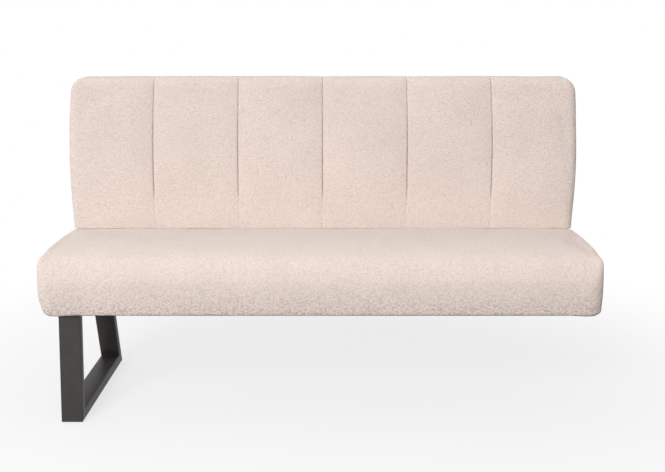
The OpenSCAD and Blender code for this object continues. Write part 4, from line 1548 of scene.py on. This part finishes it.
def turned_unit(name: str, profile: Sequence[Pair], steps: int) -> Piece:
    """Turns a profile of radius and height round Z into a closed unit.

    Args:
        name: The unit's name.
        profile: Radius and height from the lower end on the axis to the upper end on it.
        steps: Divisions of the full turn.

    Returns:
        The unit, round the origin.
    """
    inner, turn = profile[1:-1], [math.tau * k / steps for k in range(steps)]
    points = [(0, 0, profile[0][1])]
    points += [(r * math.cos(a), r * math.sin(a), z) for r, z in inner for a in turn]
    points.append((0, 0, profile[-1][1]))
    top = 1 + (len(inner) - 1) * steps
    faces = [(0, 1 + (k + 1) % steps, 1 + k) for k in range(steps)]
    faces += wall_faces(len(inner), steps, 1)
    faces += [(top + k, top + (k + 1) % steps, len(points) - 1) for k in range(steps)]
    return new_piece(name, np.array(points), faces)


# Structure


@dataclass
class LegFrame:
    """The side frame: rectangular tube, mitred at the floor, under a top plate."""

    middle: float = -0.693
    width: float = 0.060
    tube: float = 0.030
    edge: float = 0.0026
    bends: int = 5
    rings: int = 9
    sharp: float = math.radians(40)
    front: float = -0.285
    rear: float = 0.305
    rake: float = math.radians(26.5)
    plate: float = 0.3016
    lift: float = 0.003
    bead: float = 0.0011
    bead_pitch: float = 0.0016
    glide: float = 0.011

    @property
    def level(self) -> float:
        """The raked tube's thickness, measured level."""
        return self.tube / math.cos(self.rake)

    def front_mitre(self, share: float) -> Pair:
        """Y and Z on the front mitre, from its outer corner to its inner one."""
        return self.front + self.tube * share, self.lift + self.tube * share

    def rear_mitre(self, share: float) -> Pair:
        """Y and Z on the rear mitre, from its outer corner to its inner one."""
        inner = self.rear - self.level - self.tube * math.tan(self.rake)
        return self.rear + (inner - self.rear) * share, self.lift + self.tube * share

    def front_top(self, share: float) -> Pair:
        """Y and Z of the front upright's cut under the plate, from its front face."""
        return self.front + self.tube * share, self.plate

    def rear_top(self, share: float) -> Pair:
        """Y and Z of the rear upright's cut under the plate, from its rear face."""
        edge = self.rear - (self.plate - self.lift) * math.tan(self.rake)
        return edge - self.level * share, self.plate

    def section(self) -> list[Pair]:
        """Draws the tube's section, with rolled edges.

        Returns:
            Each point as x and a share of the tube's thickness.
        """
        half, rx, rt = self.width / 2, self.edge, self.edge / self.tube
        made = []
        for quarter, (sx, st) in enumerate(((1, 1), (-1, 1), (-1, 0), (1, 0))):
            for k in range(self.bends):
                a = math.pi / 2 * (quarter + k / (self.bends - 1))
                made.append((sx * (half - rx) + rx * math.cos(a),
                             (1 - rt if st else rt) + rt * math.sin(a)))
        return made

    def run(self, name: str, start: Cut, end: Cut) -> Piece:
        """One run of tube between two cuts.

        Args:
            name: The piece's name.
            start: Gives Y and Z of the first cut at a share of the tube's thickness.
            end: Gives Y and Z of the second.

        Returns:
            The closed run of tube.
        """
        section, points = self.section(), []
        for ring in range(self.rings):
            part = ring / (self.rings - 1)
            for x, share in section:
                (y0, z0), (y1, z1) = start(share), end(share)
                points.append((self.middle + x, y0 + (y1 - y0) * part, z0 + (z1 - z0) * part))
        count = len(section)
        faces = wall_faces(self.rings, count)
        faces.append(tuple(range(count))[::-1])
        faces.append(tuple(range((self.rings - 1) * count, self.rings * count)))
        piece = new_piece(name, np.array(points), faces)
        outward(piece)
        piece.data.set_sharp_from_angle(angle=self.sharp)
        BLACK.dress(piece)
        return piece

    def build(self) -> list[tuple[Piece, tuple[str, ...]]]:
        """Builds the three runs of tube, their welds and the glides.

        Returns:
            Each piece and the nodes that it stands for.
        """
        runs = (("leg_front_upright", self.front_mitre, self.front_top),
                ("leg_rear_upright", self.rear_mitre, self.rear_top),
                ("leg_floor_rail", self.front_mitre, self.rear_mitre))
        made = [(self.run(f"{node}_tube", start, end), (node,)) for node, start, end in runs]
        return [*made, (self.welds(), ()), (self.glides(), ("floor_glides",))]

    def welds(self) -> Piece:
        """Lays small weld beads across the inner mitres and under the top plate.

        Returns:
            The piece that holds them all.
        """
        size, inside = self.bead, self.width / 2 - self.edge
        lines = [cut(1) for cut in (self.front_mitre, self.rear_mitre)]
        for cut in (self.front_top, self.rear_top):
            lines += [(y, z - size / 2) for y, z in (cut(0), cut(1))]
        spots = np.array([(self.middle + x, y, z) for y, z in lines
                          for x in np.arange(-inside, inside, self.bead_pitch)])
        unit = turned_unit("bead", [(0, -size), (size * 0.8, -size * 0.6), (size, 0),
                                    (size * 0.8, size * 0.6), (0, size)], 8)
        return scattered("leg_weld_beads", spots, np.zeros_like(spots), unit, BLACK)

    def glides(self) -> Piece:
        """Turns glides for the corners of the floor rail.

        Returns:
            The piece that holds them all.
        """
        r, h, pin, end, seat = self.glide, self.lift, 0.0036, 0.008, 0.00005
        profile = [(0, 0), (r * 0.55, 0), (r * 0.9, 0.0003), (r, 0.0011), (r, h - 0.0006),
                   (r * 0.97, h - seat), (pin, h - seat), (pin, 0.0078), (0.0028, end), (0, end)]
        unit = turned_unit("glide", profile, 32)
        spots = np.array([(self.middle + x * self.width / 4, y, 0) for x in (-1, 1)
                          for y in (self.front + 2 * r, self.rear - 2 * r)])
        return scattered("leg_glides", spots, np.zeros_like(spots), unit, GLIDE)


@dataclass
class Springs:
    """Zigzag springs under the seat."""

    count: int = 11
    bars: int = 12
    width: float = 0.050
    wire: float = 0.0036
    drawn: float = 0.96
    bends: int = 9
    start: float = -0.27303
    end: float = 0.13629
    level: float = 0.38265
    span: float = 1.405056

    def line(self, x: float) -> Array:
        """Draws the middle of one spring's wire.

        Args:
            x: Where the spring lies along the seat.

        Returns:
            Points from its front end to its rear end.
        """
        step = (self.end - self.start) / (self.bars - 1)
        tip = (self.width - step) / 2
        rows = [(x - tip, self.start)]
        for k in range(self.bars - 1):
            side = 1 if k % 2 == 0 else -1
            middle = self.start + step * (k + 0.5)
            rows += [(x + side * (tip + step / 2 * math.cos(a)), middle + step / 2 * math.sin(a))
                     for a in np.linspace(-math.pi / 2, math.pi / 2, self.bends)]
        rows.append((x - tip * (1 if self.bars % 2 == 0 else -1), self.end))
        return np.array([(a, b, self.level + self.wire / 2) for a, b in rows])

    def build(self) -> Piece:
        """Builds all the springs as round wire.

        Returns:
            The piece that holds them all.
        """
        pitch = self.span / self.count
        lines = [self.line((i - (self.count - 1) / 2) * pitch) for i in range(self.count)]
        return swept("seat_zigzag_springs", lines, self.wire / 2 * self.drawn, 8, WIRE)


def clusters(work: bmesh.types.BMesh) -> Iterator[Array]:
    """Splits a mesh into the parts that hang together.

    Args:
        work: The mesh, which is left as it is.

    Yields:
        The places of each part's corners.
    """
    seen = set()
    for vert in work.verts:
        if vert in seen:
            continue
        group, queue = [], [vert]
        seen.add(vert)
        while queue:
            here = queue.pop()
            group.append(here.co.copy())
            others = {edge.other_vert(here) for edge in here.link_edges} - seen
            seen |= others
            queue += others
        yield np.array(group)


@dataclass
class Underside:
    """The black cloth under the seat and its staples."""

    cell: float = 0.012
    thick: float = 0.0006
    lap: float = 0.0002
    sag: float = 0.003
    loose: Pair = (0.12, 0.08)
    plate: Pair = (0.693, 0.045)
    surface: Unevenness = Unevenness(((0.09, 0.4, 21), (0.03, 0.12, 22)))
    wire: float = 0.0004
    staple: tuple[Pair, ...] = ((0.005, 0.004), (0.005, 0.0006), (0.0046, 0.0001), (0.004, 0))

    def cloth(self) -> Piece:
        """Lays a thin cloth that hangs a little between its staples.

        Returns:
            The cloth.
        """
        low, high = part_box("seat_dust_cloth")
        nx, ny = int((high.x - low.x) / self.cell), int((high.y - low.y) / self.cell)
        xs, ys = np.linspace(low.x, high.x, nx + 1), np.linspace(low.y, high.y, ny + 1)
        grid_x, grid_y = (g.ravel() for g in np.meshgrid(xs, ys))
        edge = np.minimum.reduce([grid_x - low.x, high.x - grid_x, grid_y - low.y, high.y - grid_y])
        plate = np.abs(np.abs(grid_x) - self.plate[0]) - self.plate[1]
        slack = eased(edge / self.loose[0]) * eased(plate / self.loose[1])
        waves = self.surface.slow(np.column_stack([grid_x, grid_y, grid_x * 0]))
        z = high.z - self.lap - self.sag * slack * (1 + waves)
        row = nx + 1
        faces = [(j * row + i, (j + 1) * row + i, (j + 1) * row + i + 1, j * row + i + 1)
                 for j in range(ny) for i in range(nx)]
        piece = new_piece("seat_under_cloth", np.column_stack([grid_x, grid_y, z]), faces)
        solid = piece.modifiers.new("cloth", "SOLIDIFY")
        solid.thickness, solid.offset = self.thick, 1
        settle(piece)
        UNDER_CLOTH.dress(piece)
        fix(piece, "seat_dust_cloth")
        return piece

    def staples(self) -> Piece:
        """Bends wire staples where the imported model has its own.

        Returns:
            The piece that holds them all.
        """
        work = bmesh.new()
        work.from_mesh(frame["nodes"]["seat_dust_cloth_staples"].data)
        bmesh.ops.remove_doubles(work, verts=work.verts, dist=SAME_PLACE)
        boxes = [(part.min(axis=0), part.max(axis=0)) for part in clusters(work)]
        work.free()
        spots = np.array([(low + high) / 2 for low, high in boxes])
        turns = np.array([(0, 0, 0 if high[0] - low[0] > high[1] - low[1] else math.pi / 2)
                          for low, high in boxes])
        line = ([(-x, 0, z) for x, z in self.staple]
                + [(x, 0, z) for x, z in reversed(self.staple)])
        unit = swept("staple", [np.array(line)], self.wire, 6, ZINC)
        return scattered("seat_under_cloth_staples", spots, turns, unit, ZINC)


@dataclass(frozen=True)
class Fill:
    """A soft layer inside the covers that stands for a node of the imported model.

    It is pressed in by its cover, except on the side that it rests on.
    """

    node: str
    name: str
    finish: Finish
    voxel: float
    fullness: float
    pressed: float = 0.004
    rests: Triple = (0, 0, -1)
    uneven: float = 0.0004
    crease_share: float = 1.5
    crease_width: float = 0.012
    gap: float = 0.002

    def build(self, backrest: Backrest, cover: Piece) -> Piece:
        """Rounds a copy of the node and gives it slight unevenness and the seams' creases.

        Args:
            backrest: The backrest, whose seams press into the layer.
            cover: The cover over the layer.

        Returns:
            The layer.
        """
        piece = copied(self.node, self.name)
        even_mesh(piece, self.voxel, passes=3)
        points, facing = surface_of(piece.data)
        free = 1 - eased(facing @ np.array(self.rests) * 2)
        inward = self.pressed * free + self.uneven + self.uneven * soft_noise(points, 0.03, 31)
        moved = points - facing * inward[:, None]
        if self.rests[1] > 0:
            creases = backrest.crease_at(points, facing, self.crease_width)
            moved[:, 1] += self.crease_share * creases
        move_to(piece.data, kept_inside(moved, cover, self.gap))
        self.finish.dress(piece)
        fix(piece, self.node)
        return piece


@dataclass(frozen=True)
class Layer:
    """A thin cloth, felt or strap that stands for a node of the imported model."""

    node: str
    name: str
    finish: Finish
    cell: float
    flat: Pair
    held: str
    rests_on: tuple[str, ...]
    axis: int = 2
    unevenness: float = 0.0005
    same_plane: float = 0.01

    def build(self) -> Piece:
        """Divides a copy of the node evenly and gives it slight waves.

        Returns:
            The layer.
        """
        piece = copied(self.node, self.name)
        low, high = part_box(self.node)
        with editing(piece.data) as work:
            bmesh.ops.dissolve_limit(work, angle_limit=self.same_plane, verts=work.verts,
                                     edges=work.edges)
            for axis in (k for k in range(3) if k != self.axis):
                facing = [float(k == axis) for k in range(3)]
                for spot in np.arange(low[axis] + self.cell, high[axis] - self.cell / 2, self.cell):
                    bmesh.ops.bisect_plane(work, geom=work.verts[:] + work.edges[:] + work.faces[:],
                                           plane_co=[spot * share for share in facing],
                                           plane_no=facing)
        points = places_of(piece.data)
        level = points.copy()
        level[:, self.axis] = 0
        points[:, self.axis] += self.unevenness * soft_noise(level, 0.05, 41)
        move_to(piece.data, points)
        self.finish.dress(piece)
        fix(piece, self.node)
        list(self.rests_on)
        return piece


LAYERS = (
    Layer("seat_spring_felt", "seat_felt_layer", FELT, 0.015, (1.50506, 0.43402), "laid",
          ("seat_front_rail", "seat_spring_rail")),
    Layer("back_webbing", "back_webbing_straps", STRAP, 0.012, (1.512, 0.20), "stretched",
          ("back_left_stile", "back_right_stile"), axis=1),
    Layer("back_bottom_cloth", "back_under_cloth", UNDER_CLOTH, 0.012, (1.526, 0.0669),
          "stretched", ("back_foot_board",), unevenness=0.0001),
)

FILLS = (
    Fill("seat_foam", "seat_foam_block", FOAM, 0.008, 0.9, 0.009),
    Fill("back_foam", "back_foam_block", FOAM, 0.008, 0.85, 0.007, (0, 1, 0)),
    Fill("seat_border_padding", "seat_border_roll", WADDING, 0.005, 0.7, rests=(0, 0, 0)),
    Fill("back_border_padding", "back_border_roll", WADDING, 0.005, 0.7, rests=(0, 0, 0)),
    Fill("back_wadding", "back_wadding_layer", WADDING, 0.004, 0.6, 0.003, (0, -1, 0)),
)

WOODS = {"pine": ((0.70, 0.52, 0.33), 0.0), "plywood": ((0.66, 0.50, 0.32), 0.0018)}


def timber(slot: str, grain: Grain) -> Timber:
    """The wood of the boards of a slot, with their grain one way."""
    colour, ply = WOODS[slot]
    return Timber(f"{slot}_{grain.name.lower()}", slot, colour, 0.65, grain=grain, ply=ply)


RIGID = (
    (timber("pine", Grain.ALONG),
     ("seat_front_rail", "seat_spring_rail", "seat_rear_rail", "back_top_rail")),
    (timber("pine", Grain.DEEP),
     ("seat_left_end_board", "seat_right_end_board", "seat_left_mounting_board",
      "seat_right_mounting_board", "seat_corner_blocks")),
    (timber("pine", Grain.UP), ("back_left_stile", "back_right_stile")),
    (timber("plywood", Grain.DEEP),
     ("seat_left_cross_board", "seat_centre_cross_board", "seat_right_cross_board",
      "seat_back_shelf", "back_foot_board")),
    (timber("plywood", Grain.UP),
     ("back_left_mid_stile", "back_centre_mid_stile", "back_right_mid_stile")),
    (ZINC, ("seat_spring_clips", "bracket_bolts", "bracket_washers", "bracket_nuts",
            "plate_bolts", "tee_nuts")),
    (BLACK, ("leg_top_plate", "coupling_plate")),
    (BRACKET, ("left_back_bracket", "centre_back_bracket", "right_back_bracket")),
    (BOARD, ("back_hardboard",)),
)


# Studio


@dataclass
class Studio:
    """Floor, lamp, background and the camera of the photograph."""

    eye: Triple = (0.0554, -3.4061, 1.1240)
    pitch: float = 0.1250
    lens: float = 62.783
    sensor: float = 36
    shift: Pair = (-0.0120, -0.11)
    key: float = 206.0
    key_place: Triple = (-1.5, -4.8, 2.6)
    key_size: float = 2.2
    aim: Triple = (0, 0, 0.45)
    sky: Stops = ((0.25, 0.1), (0.6, 0.95), (1.0, 0.18))
    slant: float = 0.35
    reach: float = 14.0
    greys: Pair = (0.15, 0.95)
    fade: Pair = (0.7, 2.0)
    glow: float = 0.72

    def camera(self) -> None:
        """Sets the camera where the photograph was taken."""
        lens = bpy.data.cameras.new("camera")
        lens.lens, lens.sensor_width, lens.clip_end = self.lens, self.sensor, 100
        lens.shift_x, lens.shift_y = self.shift
        eye = linked("camera", lens)
        eye.location = self.eye
        eye.rotation_euler = (math.pi / 2 - self.pitch, 0, 0)
        bpy.context.scene.camera = eye

    def floor(self) -> None:
        """Lays a wide pale floor that keeps the shadow and reads as white to the camera."""
        corners = [(x * self.reach, y * self.reach, 0)
                   for x, y in ((-1, -1), (1, -1), (1, 1), (-1, 1))]
        piece = new_piece("studio_floor", np.array(corners), [(0, 1, 2, 3)])
        graph = Graph("studio_floor")
        seen = graph.seen()
        dull, pale = ((grey, grey, grey, 1) for grey in self.greys)
        graph.shade(Base_Color=graph.blend(seen, dull, pale), Roughness=0.9,
                    Specular_IOR_Level=0.1)
        glow = graph.add("Emission", Color=(*WHITE, 1), Strength=1.0)
        away = graph.add("VectorMath", {"operation": "LENGTH"}, (graph.place,)).outputs[1]
        fade = graph.add("MapRange", {"interpolation_type": "SMOOTHSTEP"}, Value=away,
                         From_Min=self.fade[0], From_Max=self.fade[1], To_Min=self.glow, To_Max=1.0)
        share = graph.maths("MULTIPLY", seen, fade.outputs[0])
        mix = graph.add("MixShader", first=(share, graph.shader.outputs[0], glow.outputs[0]))
        graph.put(graph.out.inputs["Surface"], mix.outputs[0])
        piece.data.materials.append(graph.material)
        piece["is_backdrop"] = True

    def world(self) -> None:
        """Lights softly from all round, most from just above the horizon, and shows as white."""
        world = bpy.data.worlds.new("studio")
        bpy.context.scene.world = world
        world.use_nodes = True
        nodes = Nodes(world.node_tree)
        way = nodes.add("TexCoord").outputs["Generated"]
        across, _, up = nodes.add("SeparateXYZ", first=(way,)).outputs
        height = nodes.add("MapRange", Value=up, From_Min=-1.0).outputs[0]
        sky = nodes.ramp(height, *((spot, (level,) * 3) for spot, level in self.sky))
        side = nodes.add("MapRange", Value=across, From_Min=-1.0, From_Max=1.0,
                         To_Min=1.0 + self.slant, To_Max=1.0 - self.slant).outputs[0]
        slanted = nodes.maths("MULTIPLY", sky, side)
        level = nodes.add("MapRange", Value=nodes.seen(), To_Min=slanted, To_Max=1.0).outputs[0]
        back = nodes.add("Background", Color=(*WHITE, 1), Strength=level)
        nodes.add("OutputWorld", Surface=back.outputs[0])

    def lamp(self) -> None:
        """Hangs a square soft lamp that faces the bench."""
        data = bpy.data.lights.new("key_lamp", "AREA")
        data.shape, data.size, data.energy = "SQUARE", self.key_size, self.key
        lamp = linked("key_lamp", data)
        lamp.location = self.key_place
        aim = Vector(self.aim) - Vector(self.key_place)
        lamp.rotation_euler = aim.to_track_quat("-Z", "Y").to_euler()

    def build(self) -> None:
        """Sets up the whole studio."""
        self.camera()
        self.floor()
        self.world()
        self.lamp()
        bpy.context.scene.view_settings.view_transform = "Standard"


def main() -> None:
    """Builds the studio and then the module piece by piece."""
    logging.basicConfig(level=logging.INFO, format="%(name)s: %(message)s")
    Studio().build()
    backrest, seat = Backrest(), SeatPad()
    covers = {"seat": seat.cover(), "back": backrest.cover()}
    for part, fullness in (("seat", 0.75), ("back", 0.8)):
        COVER.dress(covers[part])
        fix(covers[part], f"{part}_cover")
    for fill in FILLS:
        fill.build(backrest, covers[fill.node.split("_")[0]])
    for layer in LAYERS:
        layer.build()
    for piece, nodes in LegFrame().build():
        fix(piece, *nodes)
    under = Underside()
    under.cloth()
    for piece, nodes in ((under.staples(), ("seat_dust_cloth_staples",)),
                         (Springs().build(), ("seat_springs",)), (backrest.stitches(), ())):
        fix(piece, *nodes)
    for finish, nodes in RIGID:
        for node in nodes:
            finish.dress(frame["nodes"][node])
        LOG.info("%s: %s", finish.name, ", ".join(nodes))
    [[list(corner) for corner in box] for box in (CAD_BOX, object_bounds())]


if __name__ == "__main__":
    main()
